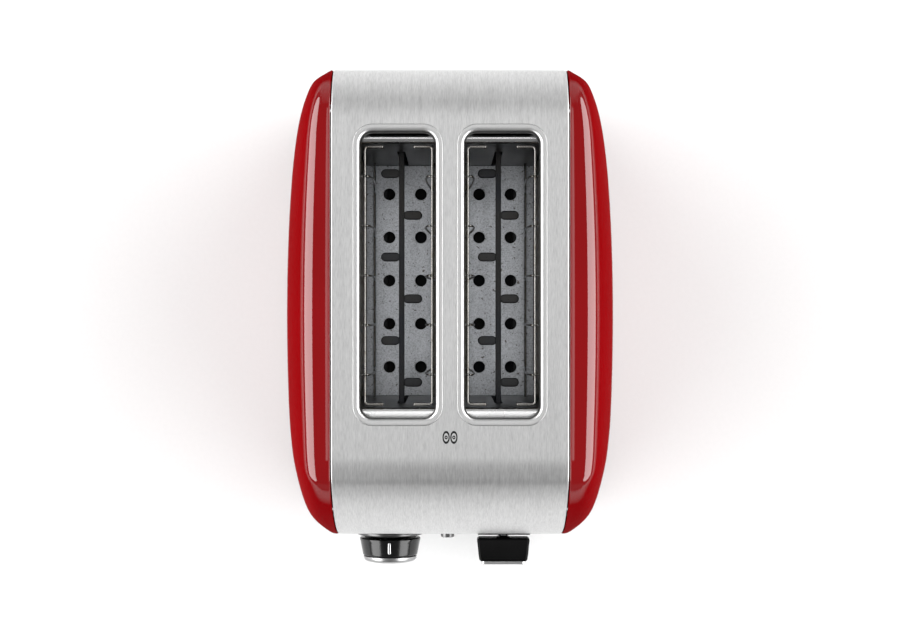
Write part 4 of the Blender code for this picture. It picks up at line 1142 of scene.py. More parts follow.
    def barrel(self, y: np.ndarray, z: np.ndarray) -> np.ndarray:
        """Share of the bulge kept along the cover, fullest near the middle and rounded off at both ends.

        Args:
            y: places front to back.
            z: their heights.

        Returns:
            The shares.
        """
        rise = np.clip((z - self.skirt) / self.barrel_fade, 0, 1)
        arch = self.barrel_peak - self.barrel_fall * (y - self.barrel_y) ** 2
        taper = self.rear_taper * np.exp((y - self.rear) / self.rear_taper_run)
        rear = self.rear_round * np.exp(-((y - self.rear) / self.rear_round_run) ** 2)
        front = self.front_round * np.exp(-((y - self.front) / self.front_round_run) ** 2)
        return 1 + (arch * (1 - taper - rear) * (1 - front) - 1) * (3 - 2 * rise) * rise ** 2

    @staticmethod
    def depth_inside(places: np.ndarray, outline: np.ndarray) -> np.ndarray:
        """Shortest distances from places to the outline.

        Args:
            places: (y, z) rows.
            outline: (y, z) rows.

        Returns:
            The distances.
        """
        a, b = outline[:-1], outline[1:]
        along = b - a
        reach = places[:, None, :] - a[None]
        share = np.clip((reach * along).sum(-1) / (along ** 2).sum(-1), 0, 1)
        return np.linalg.norm(reach - share[..., None] * along, axis=-1).min(1)

    def build_cover(self, side: int, label: str, rings: int = 46) -> None:
        """Smooth bulged cover with a rounded seam edge and a thick casting.

        Args:
            side: -1 left, 1 right.
            label: the side's name.
            rings: rings of faces from the seam to the middle.
        """
        line = np.array(self.outline())
        target = np.stack([np.full(len(line), self.spine_y), np.minimum(line[:, 1], self.spine_z)], 1)
        inward = target - line
        inward /= np.linalg.norm(inward, axis=1)[:, None]
        r = self.seam_round
        rows = []
        for angle in (0, 22.5, 45, 67.5):
            a = math.radians(angle)
            inset, rise = r * (1 - math.sin(a)), r * (1 - math.cos(a))
            rows.append(np.column_stack([np.full(len(line), self.seam + rise), line + inward * inset]))
        around = [(0.0, 0.0)] + [(math.cos(t) * q, math.sin(t) * q) for q in (0.5, 1.0)
                                 for t in np.linspace(0, 2 * math.pi, 10, endpoint=False)]
        for k in range(1, rings + 1):
            share = (k / rings) ** 3.0
            places = line + (target - line) * share
            depth = self.depth_inside(places, line)
            total = np.zeros(len(line))
            for dy, dz in around:
                moved = places + np.column_stack([depth * self.smoothing * dy, depth * self.smoothing * dz])
                total += self.bulge(self.depth_inside(moved, line))
            half = self.seam + (total / len(around) - self.seam) * self.barrel(places[:, 0], places[:, 1])
            half = np.maximum(half, self.seam + r)
            rows.append(np.column_stack([half, places]))
        piece = Piece(f"red_cover_{label}", RED)
        verts = [[piece.bm.verts.new((side * x, y, z)) for x, y, z in row] for row in rows]
        ring_faces(piece.bm, verts, wrap_points=False)
        bmesh.ops.remove_doubles(piece.bm, verts=piece.bm.verts, dist=1e-5)
        bmesh.ops.dissolve_degenerate(piece.bm, edges=piece.bm.edges, dist=1e-6)
        bmesh.ops.recalc_face_normals(piece.bm, faces=piece.bm.faces)
        self.face_outwards(piece.bm, side)
        made = piece.publish(replaces=[f"side_cover_{label}"], sharp=60)
        wall = made.modifiers.new("casting", "SOLIDIFY")
        wall.thickness, wall.offset = self.casting, -1.0
        made.modifiers.move(len(made.modifiers) - 1, 0)

    @staticmethod
    def face_outwards(bm: bmesh.types.BMesh, side: int) -> None:
        """Turns an open skin so that its faces look to one side.

        Args:
            bm: the skin.
            side: -1 left, 1 right.
        """
        bm.normal_update()
        if sum(f.normal.x * f.calc_area() for f in bm.faces) * side < 0:
            bmesh.ops.reverse_faces(bm, faces=bm.faces)

    def build(self) -> None:
        """Builds the whole casing."""
        self.build_wrap()
        for side, label in ((-1, "left"), (1, "right")):
            self.build_border(side, f"slot_border_{label}")
            self.build_cover(side, label)


# ---------------------------------------------------------------- chamber
@dataclass
class Chamber:
    """End walls with rolled flanges, perforated floor and the four guard cages."""

    plate: float = 0.0012
    flange: float = 0.008
    roll: float = 0.003
    hole: float = 0.0034
    hole_x: float = 0.0095
    rows: int = 5
    row_margin: float = 0.0173
    wire: float = 0.00062
    top_drop: float = 0.0175
    pivot_z: float = 0.048
    turn: float = 0.0016
    reach: float = 0.009
    bow: float = 0.0036
    hook: float = 0.0026
    ribs: int = 5
    slot_x: float = 0.027
    hang: float = 0.0040
    cage_x: float = 0.0177
    end_gap: float = 0.0018
    hinge_reach: float = 0.0038
    hinge_hole: float = 0.0011
    rack_gap: float = 0.0023

    def __post_init__(self) -> None:
        """Reads the chamber's walls from the frame."""
        low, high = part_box("floor_grille")
        self.front_wall, self.rear_wall, self.floor = low.y, high.y, high.z
        self.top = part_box("outer_wrap")[1].z

    def build_wall(self, node: str, name: str, face: float, outward: int, flat: float) -> None:
        """End wall: sheet rolled over at the top, slotted for the racks; the roll takes a bright copy of the steel as
        painted light, the wall below the near-black one, partly painted shade.

        Args:
            node: frame node it stands for.
            name: name of the piece.
            face: inner face of the wall.
            outward: which way the edge rolls.
            flat: level width behind the roll.
        """
        low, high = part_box(node)
        thin, bend = self.roll - self.plate, self.roll / 2
        rise = [math.radians(9 * k) for k in range(11)]
        outer = [(self.roll * (1 - math.cos(a)), self.roll * (math.sin(a) - 1)) for a in rise]
        outer += [(self.roll + flat + bend * math.sin(a), bend * (math.cos(a) - 1)) for a in rise[::2]]
        lip = bend - self.plate / 2
        inner = [(self.roll + flat + lip * math.sin(a), lip * (math.cos(a) - 1) - self.plate / 2) for a in rise[::-2]]
        inner += [(self.roll - thin * math.cos(a), thin * math.sin(a) - self.roll) for a in reversed(rise[:-1])]
        foot = low.z - high.z
        back = self.roll + flat + bend
        section = ([(0, foot)] + outer + [(back, -self.hang), (back - self.plate / 2, -self.hang)]
                   + inner + [(self.plate, foot)])
        piece = Piece(name, CHAMBER_STEEL)
        extrude(piece.bm, [[(face + outward * u, high.z + v) for u, v in section]], Plane.YZ, low.x, high.x)
        rack_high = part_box("bread_rack_left")[1]
        depth = (face - 0.005, face + 0.005)
        tools = []
        for side in (-1, 1):
            x, gap = side * self.slot_x, self.rack_gap
            slot = rounded(x - gap, x + gap, self.floor + 0.0006, rack_high.z + 0.0128, 0.0016, 6)
            tools.append(prism([slot], Plane.XZ, *depth))
            for off in (-self.cage_x, self.cage_x):
                tools.append(prism([circle(x + off, self.pivot_z, self.hinge_hole, 20)], Plane.XZ, *depth))
        made = piece.publish(replaces=[node], cutters=tools, sharp=40)
        # The rolled top takes a bright copy of the same steel: painted light where the roll faces up; the wall below
        # keeps the near-black steel, partly heat colour and partly painted shade.
        made.data.materials.append(LIT_ROLL_STEEL.material())
        for part in made.data.polygons:
            part.material_index = int(part.center.z > high.z - self.roll * 0.75)

    def build_floor(self) -> None:
        """Coated floor with two rows of round holes under each slot."""
        low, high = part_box("floor_grille")
        border = [(low.x, low.y), (high.x, low.y), (high.x, high.y), (low.x, high.y)]
        holes = [circle(side * self.slot_x + row * self.hole_x, y, self.hole, 36)
                 for side in (-1, 1) for row in (-1, 1)
                 for y in spread(self.front_wall, self.rear_wall, self.rows, self.row_margin)]
        piece = Piece("chamber_floor", FLOOR_COAT)
        extrude(piece.bm, [border] + holes, Plane.XY, low.z, high.z)
        piece.publish(replaces=["floor_grille"], bevel=0.00025)

    def build_cage(self, label: str, slot_side: int, offset_side: int) -> None:
        """Wire cage: a long wire with returned ends, hooked cross wires and a hinge wire.

        Args:
            label: which cage.
            slot_side: -1 left slot, 1 right slot.
            offset_side: side of the slot it stands on.
        """
        x = slot_side * self.slot_x + offset_side * self.cage_x
        inward = -offset_side
        top = self.top - self.top_drop
        y0, y1 = self.front_wall + self.end_gap, self.rear_wall - self.end_gap
        front = [(x + inward * self.turn * (1 - math.cos(a)), y0 + self.turn * (1 - math.sin(a)), top)
                 for a in (math.radians(t) for t in range(90, -1, -15))]
        rear = [(px, y0 + y1 - py, pz) for px, py, pz in reversed(front)]
        reach = x + inward * self.reach
        piece = Piece(f"guard_wires_{label}", WIRE)
        tube(piece.bm, [(reach, y0, top)] + front + [(x, (y0 + y1) / 2, top)] + rear + [(reach, y1, top)],
             self.wire, 14, 1.5)
        hinge = (self.front_wall - self.hinge_reach, 0.0, self.rear_wall + self.hinge_reach)
        tube(piece.bm, [(x, y, self.pivot_z) for y in hinge], self.wire, 12)
        for y in spread(self.front_wall, self.rear_wall, self.ribs, self.row_margin):
            tube(piece.bm, smooth_path(self.rib(x, y, inward, top), 4), self.wire * 0.9, 10, 1.35)
        piece.publish(f"cage_{label}", [f"guard_cage_{label}"], sharp=50)

    def rib(self, x: float, y: float, inward: int, top: float) -> list[Point]:
        """One cross wire, hooked over the long wire and bowed down to the hinge wire.

        Args:
            x: the cage's plane.
            y: place along the slot.
            inward: way to the middle of the slot.
            top: height of the long wire.

        Returns:
            Its centre line.
        """
        height = top - self.pivot_z
        points = [(x - inward * self.hook, y, top + 0.0002), (x - inward * 0.0009, y, top + 0.00115),
                  (x + inward * 0.0006, y, top + 0.00115), (x + inward * self.bow * 0.62, y, top - 0.0006)]
        for k in range(1, 8):
            share = k / 7
            bow = self.bow * math.sin(math.pi * (0.42 + 0.58 * share))
            points.append((x + inward * bow, y, top - 0.003 - (height - 0.003) * share))
        return points

    def build(self) -> None:
        """Builds the chamber."""
        self.build_wall("front_end_plate", "end_wall_front", self.front_wall, -1, 0.0035)
        self.build_wall("rear_end_plate", "end_wall_rear", self.rear_wall, 1, 0.0)
        self.build_floor()
        for side, label in ((-1, "left"), (1, "right")):
            self.build_cage(f"{label}_outer", side, side)
            self.build_cage(f"{label}_inner", side, -side)


# ---------------------------------------------------------------- lift
@dataclass
class Lift:
    """Bread racks, moulded lever with its strip, and the spring round the guide rod."""

    bar: float = 0.003
    finger: float = 0.0115
    finger_width: float = 0.005
    fingers: int = 6
    finger_margin: float = 0.01105
    lever_width: float = 0.0296
    lever_front: float = 0.0269
    strip_width: float = 0.0250
    turns: int = 11
    coil: float = 0.0034
    coil_wire: float = 0.0005
    coil_steps: int = 16
    slot_x: float = 0.027
    sheet: float = 0.0009
    crease: float = 0.0003
    lip: float = 0.0005
    neck_corner: float = 0.0008
    strip_corner: float = 0.0022

    def build_rack(self, side: int, label: str) -> None:
        """Folded bar with pressed pill fingers to alternate sides.

        Args:
            side: -1 left, 1 right.
            label: the side's name.
        """
        low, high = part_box(f"bread_rack_{label}")
        x, half, sheet, crease, lip = side * self.slot_x, self.bar / 2, self.sheet, self.crease, self.lip
        piece = Piece(f"rack_{label}", RACK_STEEL)
        folded = [(x - half, low.z), (x - half + sheet, low.z), (x - half + sheet, high.z - sheet),
                  (x + half - sheet, high.z - sheet), (x + half - sheet, low.z), (x + half, low.z),
                  (x + half, high.z - crease), (x + half - crease, high.z), (x + lip, high.z),
                  (x + crease, high.z - lip), (x - crease, high.z - lip), (x - lip, high.z),
                  (x - half + crease, high.z), (x - half, high.z - crease)]
        extrude(piece.bm, [folded], Plane.XZ, low.y, high.y)
        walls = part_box("floor_grille")
        places = spread(walls[0].y, walls[1].y, self.fingers, self.finger_margin)
        for step, y in enumerate(places):
            way = 1 if step % 2 == 0 else -1
            ends = sorted((x + way * sheet, x + way * self.finger))
            w = self.finger_width / 2
            self.pill(piece.bm, ends[0], ends[1], y - w, y + w, high.z - 0.0004)
        piece.publish("bread_lift", [f"bread_rack_{label}"], sharp=45)

    def pill(self, bm: bmesh.types.BMesh, x0: float, x1: float, y0: float, y1: float, top: float) -> None:
        """Rounded finger with a crowned edge."""
        levels = ((0.0007, 0.0), (0.0002, 0.0002), (0.0, 0.0006), (0.0, 0.0012), (0.0003, 0.0016))
        stack(bm, Plane.XY, [(rounded(x0 + inset, x1 - inset, y0 + inset, y1 - inset,
                                      (y1 - y0) / 2 - inset - SLIVER, 6), top - drop) for inset, drop in levels])

    def build_lever(self) -> None:
        """Gloss black lever, tapered and softly chamfered, on a narrow neck."""
        low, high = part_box("lever_knob")
        x, z = (low.x + high.x) / 2, (low.z + high.z) / 2
        height = (high.z - low.z) / 2
        depth = high.y - low.y
        sections = [(0.0, 0.93, 0.88, 0.0016), (0.0006, 0.985, 0.97, 0.0018), (0.0016, 1.0, 1.0, 0.0018),
                    (0.35 * depth, 0.975, 1.0, 0.0018), (0.70 * depth, 0.948, 0.995, 0.0018),
                    (depth - 0.0012, 0.922, 0.98, 0.0018), (depth - 0.0005, 0.905, 0.965, 0.0016),
                    (depth, 0.868, 0.93, 0.0012)]
        piece = Piece("lever_grip", GLOSS_BLACK)
        layers = []
        for forward, wide, tall, corner in sections:
            w, h = self.lever_width / 2 * wide, height * tall
            layers.append((rounded(x - w, x + w, z - h, z + h, corner), high.y - forward))
        stack(piece.bm, Plane.XZ, layers)
        socket = rounded(x - 0.0018, x + 0.0018, z - 0.0033, z + 0.0033, 0.0004, 3)
        piece.publish("bread_lift", ["lever_knob"], sharp=50,
                      cutters=[prism([socket], Plane.XZ, high.y - 0.0124, high.y + 0.002)])
        self.build_strip(x, z)
        self.build_neck(x, z, high.y)

    def build_neck(self, x: float, z: float, back: float) -> None:
        """Short neck that flares from the arm into the lever.

        Args:
            x: middle across.
            z: middle height.
            back: rear face of the lever.
        """
        piece = Piece("lever_neck", GLOSS_BLACK)
        flare = ((-0.0004, 0.0046, 0.0044), (0.0, 0.0044, 0.0043), (0.0005, 0.0031, 0.0038),
                 (0.0010, 0.0023, 0.0035), (0.0013, 0.0020, 0.0034))
        stack(piece.bm, Plane.XZ, [(rounded(x - wide, x + wide, z - tall, z + tall, self.neck_corner, 4),
                                    back + reach) for reach, wide, tall in flare])
        piece.publish("bread_lift", sharp=60)

    def build_strip(self, x: float, z: float) -> None:
        """Satin strip on the lever's face with rounded edges.

        Args:
            x: middle across.
            z: middle height.
        """
        low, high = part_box("lever_cap")
        height = (high.z - low.z) / 2
        depth = high.y - low.y
        piece = Piece("lever_strip", SATIN)
        layers = []
        for forward, trim in ((0.0, 0.0), (0.45, 0.0), (0.70, 0.0002), (0.88, 0.0006), (1.0, 0.0013)):
            w, h = self.strip_width / 2 - trim, height - trim
            corner = max(self.strip_corner - trim, 0.0006)
            layers.append((rounded(x - w, x + w, z - h, z + h, corner), high.y - forward * depth))
        stack(piece.bm, Plane.XZ, layers)
        piece.publish("bread_lift", ["lever_cap"], sharp=60)

    def build_spring(self) -> None:
        """Compression spring under the carriage."""
        low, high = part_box("lift_spring")
        centre = (low + high) / 2
        start, end = low.z + self.coil_wire, high.z - self.coil_wire
        count = self.turns * self.coil_steps
        points = []
        for k in range(count + 1):
            angle = 2 * math.pi * self.turns * k / count
            points.append((centre.x + self.coil * math.cos(angle), centre.y + self.coil * math.sin(angle),
                           start + (end - start) * k / count))
        piece = Piece("return_spring", WIRE)
        tube(piece.bm, points, self.coil_wire, 8)
        made = piece.publish(replaces=["lift_spring"], sharp=60)
        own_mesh(made)

    def build(self) -> None:
        """Builds the lift's visible pieces."""
        for side, label in ((-1, "left"), (1, "right")):
            self.build_rack(side, label)
        self.build_lever()
        self.build_spring()


# ---------------------------------------------------------------- controls
@dataclass
class Controls:
    """Browning knob on its domed bezel, lever escutcheon and the button column."""

    ring: float = 0.0193
    pointer_width: float = 0.0017
    button: float = 0.0038
    lever_gap: float = 0.0023
    cap_lap: float = 0.0024
    proud: float = 0.0006
    let_in: float = 0.00003
    knob_tip: float = 0.0158
    knob_bore: float = 0.0033
    knob_wall: float = 0.0026
    bezel_bore: float = 0.0055
    button_flange: float = 0.0086

    def build_knob(self) -> None:
        """Tapered knob with a spun cap and a raised pointer."""
        low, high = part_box("shade_knob")
        x, z = (low.x + high.x) / 2, (low.z + high.z) / 2
        radius, depth = (high.x - low.x) / 2, high.y - low.y - self.cap_lap
        tip, bore, ceiling = self.knob_tip, self.knob_bore, depth - self.knob_wall
        slope = (radius - tip) / depth
        body = [(0.0, 0.0093), (bore, 0.0093), (bore, 0.0), (0.0058, 0.0), (0.0058, ceiling),
                (tip - self.knob_wall, ceiling), (radius - 0.0028, 0.0), (radius - 0.0006, 0.0),
                (radius - 0.0001, 0.0004), (radius - 0.0001, 0.0012)]
        body += [(radius - slope * depth * k / 10, depth * k / 10) for k in range(2, 10)]
        body += [(tip + 0.0001, depth - 0.0005), (tip - 0.0004, depth), (0.0, depth)]
        piece = Piece("browning_knob", KNOB_BLACK)
        lathe(piece.bm, body, (x, high.y, z), TURN_STEPS)
        piece.publish("knob", ["shade_knob"], sharp=45)
        self.build_cap(x, z)
        self.build_pointer(x, z, high.y, depth, radius, slope)

    def build_cap(self, x: float, z: float) -> None:
        """Spun satin cap with a rolled edge and a shallow dish.

        Args:
            x: the axis across.
            z: the axis height.
        """
        low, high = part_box("knob_cap")
        back = high.y + self.cap_lap
        depth, radius = back - low.y, (high.x - low.x) / 2
        profile = [(0.0, 0.0), (radius - 0.0002, 0.0), (radius + 0.0001, 0.0003), (radius, 0.0012),
                   (radius - 0.0003, 0.0020), (radius - 0.0007, 0.0026), (radius - 0.0014, 0.0030),
                   (radius - 0.0026, 0.0033), (radius - 0.0045, depth - 0.0010), (0.0085, depth - 0.0007),
                   (0.0055, depth - 0.0004), (0.0025, depth - 0.0001), (0.0, depth)]
        finish = TurnedMetal("spun_cap", "satin_metal", 0.34, 0.28, (x, z))
        piece = Piece("knob_face", finish)
        lathe(piece.bm, profile, (x, back, z), TURN_STEPS)
        piece.publish("knob", ["knob_cap"], sharp=50)

    def build_pointer(self, x: float, z: float, back: float, depth: float, radius: float, slope: float) -> None:
        """Rounded silver bar let into the knob's top.

        Args:
            x: the axis across.
            z: the axis height.
            back: rear face of the knob.
            depth: length of the knob.
            radius: radius at the rear face.
            slope: fall of the side for its length.
        """
        piece = Piece("knob_pointer", SATIN)
        start, end = back - 0.0016, back - depth + 0.0016
        w = self.pointer_width / 2
        rings = []
        for inset, lift in ((0.0, -0.0006), (0.0, 0.00005), (0.0002, 0.0003), (0.0005, 0.0004)):
            loop = rounded(x - w + inset, x + w - inset, end + inset, start - inset, w - inset - SLIVER, 6)
            rings.append([piece.bm.verts.new((u, v, z + radius - slope * (back - v) - self.let_in + lift))
                          for u, v in loop])
        capped(piece.bm, rings)
        piece.publish("knob", sharp=50)

    def build_bezel(self) -> None:
        """Black dome behind the knob with a bright ring round its front."""
        low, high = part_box("knob_bezel")
        x, z = (low.x + high.x) / 2, (low.z + high.z) / 2
        depth = high.y - low.y
        hole = self.bezel_bore
        dome = [(hole, 0.0), (0.0178, 0.0), (0.0182, 0.0008), (0.0186, 0.0018), (0.0188, 0.0026), (0.0181, 0.0028),
                (0.0180, 0.0044), (0.0176, 0.0049), (0.0160, 0.0054), (0.0138, depth - 0.0001), (0.0110, depth),
                (hole, depth), (hole, 0.0)]
        piece = Piece("knob_dome", SATIN_BLACK)
        lathe(piece.bm, dome, (x, high.y, z), TURN_STEPS)
        bmesh.ops.remove_doubles(piece.bm, verts=piece.bm.verts, dist=WELD)
        piece.publish(replaces=["knob_bezel"], sharp=45)
        band = [(0.0182, 0.0028), (0.0190, 0.0028), (self.ring, 0.0031), (self.ring, 0.0040), (0.0191, 0.0045),
                (0.0187, 0.0048), (0.0182, 0.0049), (0.0182, 0.0028)]
        piece = Piece("knob_ring", TurnedMetal("dark_ring", "satin_metal", 0.10, 0.22, (x, z)))
        lathe(piece.bm, band, (x, high.y, z), TURN_STEPS)
        bmesh.ops.remove_doubles(piece.bm, verts=piece.bm.verts, dist=WELD)
        piece.publish(sharp=50)

    def build_escutcheon(self) -> None:
        """Lever escutcheon: raised rounded frame round an upright slot."""
        low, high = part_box("lever_bezel")
        x = (low.x + high.x) / 2
        border = rounded(low.x, high.x, low.z, high.z, 0.005, 10)
        slot = rounded(x - self.lever_gap, x + self.lever_gap, low.z + 0.0065, high.z - 0.0065, 0.0011, 6)
        piece = Piece("lever_escutcheon", SATIN_BLACK)
        extrude(piece.bm, [border, slot], Plane.XZ, low.y, high.y)
        line = sorted((z, y) for y, z in Casing().outline() if y < 0)
        heights, fronts = [z for z, _ in line], [y for _, y in line]
        for vert in piece.bm.verts:
            if vert.co.y < low.y + HAIR:
                vert.co.y = float(np.interp(vert.co.z, heights, fronts)) - self.proud
        piece.publish(replaces=["lever_bezel"], bevel=0.0005)

    def build_buttons(self) -> None:
        """Pill-shaped panel and four dished buttons."""
        low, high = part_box("button_panel")
        x = (low.x + high.x) / 2
        border = rounded(low.x, high.x, low.z, high.z, (high.x - low.x) / 2 - SLIVER, 14)
        places = [middle(f"button_{k}") for k in range(1, 5)]
        holes = [circle(x, spot.z, self.button + HAIR, 40) for spot in places]
        piece = Piece("control_panel", SATIN_BLACK)
        extrude(piece.bm, [border] + holes, Plane.XZ, low.y, high.y)
        piece.publish(replaces=["button_panel"], bevel=0.00025)
        for k, spot in enumerate(places, 1):
            low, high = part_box(f"button_{k}")
            reach, r = high.y - low.y, self.button
            shoulder = reach - self.button_flange
            profile = [(0.0, 0.0), (0.0016, 0.0), (0.0016, shoulder), (r, shoulder),
                       (r, reach - 0.0007), (r - 0.0002, reach - 0.0002), (r - 0.0006, reach),
                       (r - 0.0011, reach - 0.00005), (r - 0.0022, reach - 0.0003), (0.0, reach - 0.0004)]
            finish = TurnedMetal(f"spun_button_{k}", "satin_metal", 0.16, 0.3, (x, spot.z))
            piece = Piece(f"push_button_{k}", finish)
            lathe(piece.bm, profile, (x, high.y, spot.z), 56)
            piece.publish(f"button_{k}", [f"button_{k}"], sharp=45)

    def build(self) -> None:
        """Builds all the controls."""
        self.build_knob()
        self.build_bezel()
        self.build_escutcheon()
        self.build_buttons()


# ---------------------------------------------------------------- base
@dataclass
class Underside:
    """Feet, tray front and cord gland."""

    tray_corner: float = 0.0022
    grip_half: float = 0.0165
    grip_height: float = 0.0034
    gland_bore: float = 0.0034

    def build_foot(self, number: int) -> None:
        """Grooved rubber foot.

        Args:
            number: which foot.
        """
        low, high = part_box(f"foot_{number}")
        x, y, r, h = (low.x + high.x) / 2, (low.y + high.y) / 2, (high.x - low.x) / 2, high.z - low.z
        profile = [(0.0, 0.0012), (0.0040, 0.0012), (0.0044, 0.0009), (0.0046, 0.0003), (0.0052, 0.0),
                   (r - 0.0022, 0.0), (r - 0.0013, 0.0003), (r - 0.0009, 0.0010), (r - 0.0004, h * 0.45),
                   (r - 0.0011, h * 0.50), (r - 0.0011, h * 0.60), (r - 0.0003, h * 0.65), (r, h - 0.0006),
                   (r - 0.0004, h), (0.0, h)]
        piece = Piece(f"rubber_foot_{number}", RUBBER)
        lathe(piece.bm, profile, (x, y, low.z), 48, upright=True)
        piece.publish(replaces=[f"foot_{number}"], sharp=50)

    def build_tray_front(self) -> None:
        """Moulded tray front with a dished finger grip."""
        low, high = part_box("crumb_tray_handle")
        width, z, depth = (high.x - low.x) / 2, (low.z + high.z) / 2, high.y - low.y
        piece = Piece("tray_front", TRAY_BLACK)
        rings = []
        for inset, back in ((0.0, 0.0), (0.0, depth - 0.0008), (0.0003, depth - 0.0003), (0.0009, depth)):
            ring = rounded(inset - width, width - inset, low.z + inset, high.z - inset,
                           self.tray_corner - inset * 0.5)
            rings.append([piece.bm.verts.new((u, low.y + back, v)) for u, v in ring])
        dish = []
        for grow, sunk in ((0.0006, 0.0), (0.0001, 0.0003), (0.0, 0.0008), (-0.0004, 0.0022), (-0.0012, 0.0027)):
            half, tall = self.grip_half + grow, self.grip_height + grow
            ring = rounded(-half, half, z - tall, z + tall, 0.0033 + grow * 0.9)
            dish.append([piece.bm.verts.new((u, low.y + depth - sunk, v)) for u, v in ring])
        ring_faces(piece.bm, rings)
        ring_faces(piece.bm, [rings[-1]] + dish)
        piece.bm.faces.new(rings[0])
        piece.bm.faces.new(dish[-1])
        bmesh.ops.recalc_face_normals(piece.bm, faces=piece.bm.faces)
        piece.publish("tray", ["crumb_tray_handle"], sharp=50)

    def build_gland(self) -> None:
        """Rubber cord gland let into the rear wall."""
        low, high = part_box("cord_gland")
        centre, depth = (low + high) / 2, high.y - low.y
        r, bore = (high.x - low.x) / 2, self.gland_bore
        profile = [(bore, 0.0), (bore, depth - 0.0006), (bore + 0.0004, depth - 0.0001), (bore + 0.0010, depth),
                   (r - 0.0008, depth), (r - 0.0002, depth - 0.0003), (r, depth - 0.0008), (r, 0.0), (bore, 0.0)]
        piece = Piece("cord_sleeve", RUBBER)
        lathe(piece.bm, [(radius, -reach) for radius, reach in profile], (centre.x, low.y, centre.z), 56)
        bmesh.ops.remove_doubles(piece.bm, verts=piece.bm.verts, dist=WELD)
        piece.publish(replaces=["cord_gland"], sharp=50)

    def build(self) -> None:
        """Builds the pieces seen round the base."""
        for number in range(1, 5):
            self.build_foot(number)
        self.build_tray_front()
        self.build_gland()


@dataclass
class Insides:
    """Frame nodes that stay as they are and only take their finish."""

    def finishes(self) -> dict[str, Finish]:
        """Which node takes which finish.

        Returns:
            Finishes by node.
        """
        shaft = middle("shade_pot_shaft")
        turned = TurnedMetal("turned_parts", "satin_metal", 0.55, 0.3, (shaft.x, shaft.z))
        found: dict[str, Finish] = {
            "base_plate": ZincSheet("base_sheet", "dark_steel", 0.10, 0.40), "top_deck": ZINC,
            # The zinc crumb tray takes near-black steel: painted shade seen through the floor holes.
            "crumb_tray": HeatedSteel("tray_painted_shade", "zinc_sheet", 0.05, 0.5), "carriage_plate": ZINC,
            "latch_armature": ZINC, "lever_arm": ZINC, "magnet_core": ZINC,
            "rod_bushing": SATIN, "guide_rod": SATIN, "magnet_coil": COPPER, "control_board": BOARD,
            "shade_pot_body": turned, "shade_pot_shaft": turned, "terminal_block": TRAY_BLACK}
        for side in ("left", "right"):
            found[f"side_frame_{side}"] = ZINC
            found[f"reflector_{side}"] = ZincSheet("reflector_sheet", "zinc_sheet", 0.56, 0.24)
            for place in ("inner", "outer"):
                found[f"heater_mica_{side}_{place}"] = MICA
                found[f"heater_ribbon_{side}_{place}"] = RIBBON
        for number in range(1, 5):
            found[f"base_screw_{number}"] = TurnedMetal("screw_zinc", "satin_metal", 0.42, 0.34)
        return found

    def build(self, nodes: dict[str, bpy.types.Object]) -> None:
        """Dresses every node that stays.

        Args:
            nodes: the frame's objects by name.
        """
        for name, finish in self.finishes().items():
            node = nodes[name]
            if not node.data.materials:
                node.data.materials.append(None)
            for slot in node.material_slots:
                slot.material = finish.material()
            LOG.info("%s: %s", name, finish.name)


# ---------------------------------------------------------------- studio
class LightShape(Enum):
    """Shape of a soft light."""

    PANEL = "RECTANGLE"
    OVAL = "ELLIPSE"


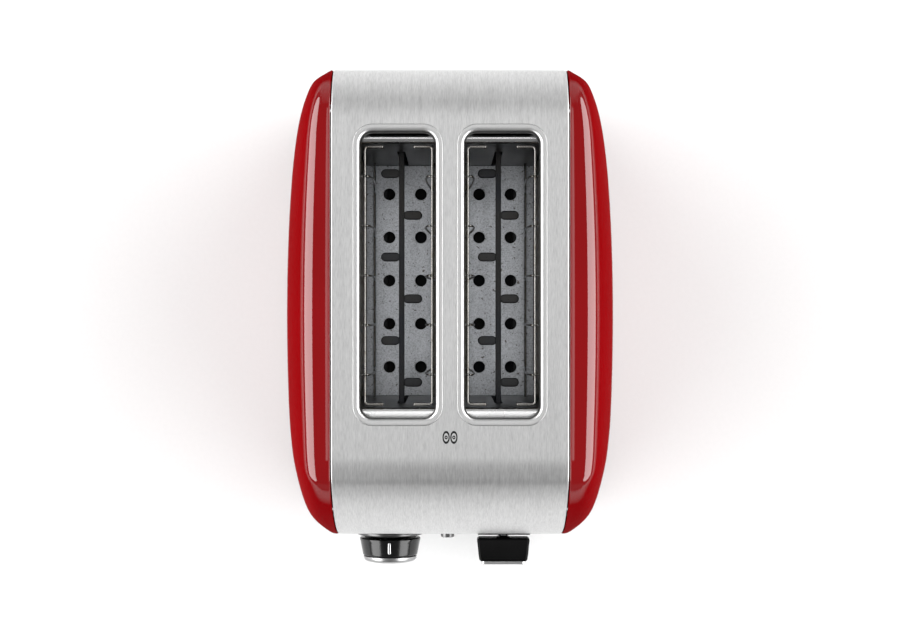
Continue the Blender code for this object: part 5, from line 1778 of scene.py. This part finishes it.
@dataclass
class Studio:
    """Camera straight above, pale floor and soft lights."""

    camera_height: float = 1.200
    camera_y: float = 0.0073
    lens: float = 77.6
    sensor: float = 36.0
    sky: float = 0.20
    sweep: tuple[Pair, ...] = ((-3.0, 0.0), (-0.6, 0.0), (0.6, 0.0), (2.0, 0.0), (2.5, 0.06), (2.9, 0.30),
                               (3.1, 0.8), (3.15, 2.5))
    sweep_x: tuple[float, ...] = (-4.0, -1.0, 1.0, 4.0)

    def build_camera(self) -> None:
        """Camera that looks straight down, with +Y at the top of the frame."""
        data = bpy.data.cameras.new("camera")
        data.lens, data.sensor_width = self.lens, self.sensor
        camera = bpy.data.objects.new("camera", data)
        camera.location = (0.0, self.camera_y, self.camera_height)
        bpy.context.scene.collection.objects.link(camera)
        bpy.context.scene.camera = camera

    def build_floor(self) -> None:
        """Wide floor with a gentle rise far behind."""
        bm = bmesh.new()
        rows = [[bm.verts.new((x, y, z)) for x in self.sweep_x] for y, z in self.sweep]
        ring_faces(bm, rows, wrap_points=False)
        bmesh.ops.recalc_face_normals(bm, faces=bm.faces)
        floor = as_object("studio_floor", bm)
        floor.data.materials.append(STUDIO.material())
        floor.data.polygons.foreach_set("use_smooth", [True] * len(floor.data.polygons))

    @staticmethod
    def light(name: str, place: Point, aim: Point, size: Pair, brightness: float,
              shape: LightShape = LightShape.PANEL) -> None:
        """Adds a soft light of an even brightness.

        Args:
            name: its name.
            place: where it stands.
            aim: where it looks.
            size: its width and height.
            brightness: how bright its face is.
            shape: panel or oval.
        """
        data = bpy.data.lights.new(name, "AREA")
        data.shape, data.size, data.size_y = shape.value, *size
        area = size[0] * size[1] * (math.pi / 4 if shape is LightShape.OVAL else 1.0)
        data.energy = brightness * math.pi * area
        lamp = bpy.data.objects.new(name, data)
        lamp.location = place
        lamp.rotation_euler = (Vector(aim) - Vector(place)).to_track_quat("-Z", "Y").to_euler()
        bpy.context.scene.collection.objects.link(lamp)

    def build(self) -> None:
        """Builds the camera, floor and lights."""
        self.build_camera()
        self.build_floor()
        self.light("overhead", (0.0, 0.95, 2.6), (0.0, 0.95, 0.0), (0.55, 2.90), 1.90)
        for side, label in ((-1, "left"), (1, "right")):
            self.light(f"{label}_strip", (side * 1.5, 0.0, 0.92), (0.0, 0.0, 0.30), (5.0, 1.34), 6.6,
                       LightShape.OVAL)
        self.light("front_bank", (0.0, -2.2, 0.35), (0.0, 0.0, 0.15), (2.0, 0.5), 0.12)
        world = bpy.data.worlds.new("world")
        world.use_nodes = True
        back = world.node_tree.nodes["Background"]
        back.inputs["Color"].default_value = (1.0, 1.0, 1.0, 1.0)
        back.inputs["Strength"].default_value = self.sky
        bpy.context.scene.world = world
        bpy.context.scene.view_settings.view_transform = "Standard"


def main() -> None:
    """Builds the studio and the toaster."""
    logging.basicConfig(level=logging.INFO, format="%(name)s %(message)s")
    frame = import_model()
    Studio().build()
    Casing().build()
    Chamber().build()
    Lift().build()
    Controls().build()
    Underside().build()
    Insides().build(frame["nodes"])
    bpy.context.view_layer.update()


if __name__ == "__main__":
    main()
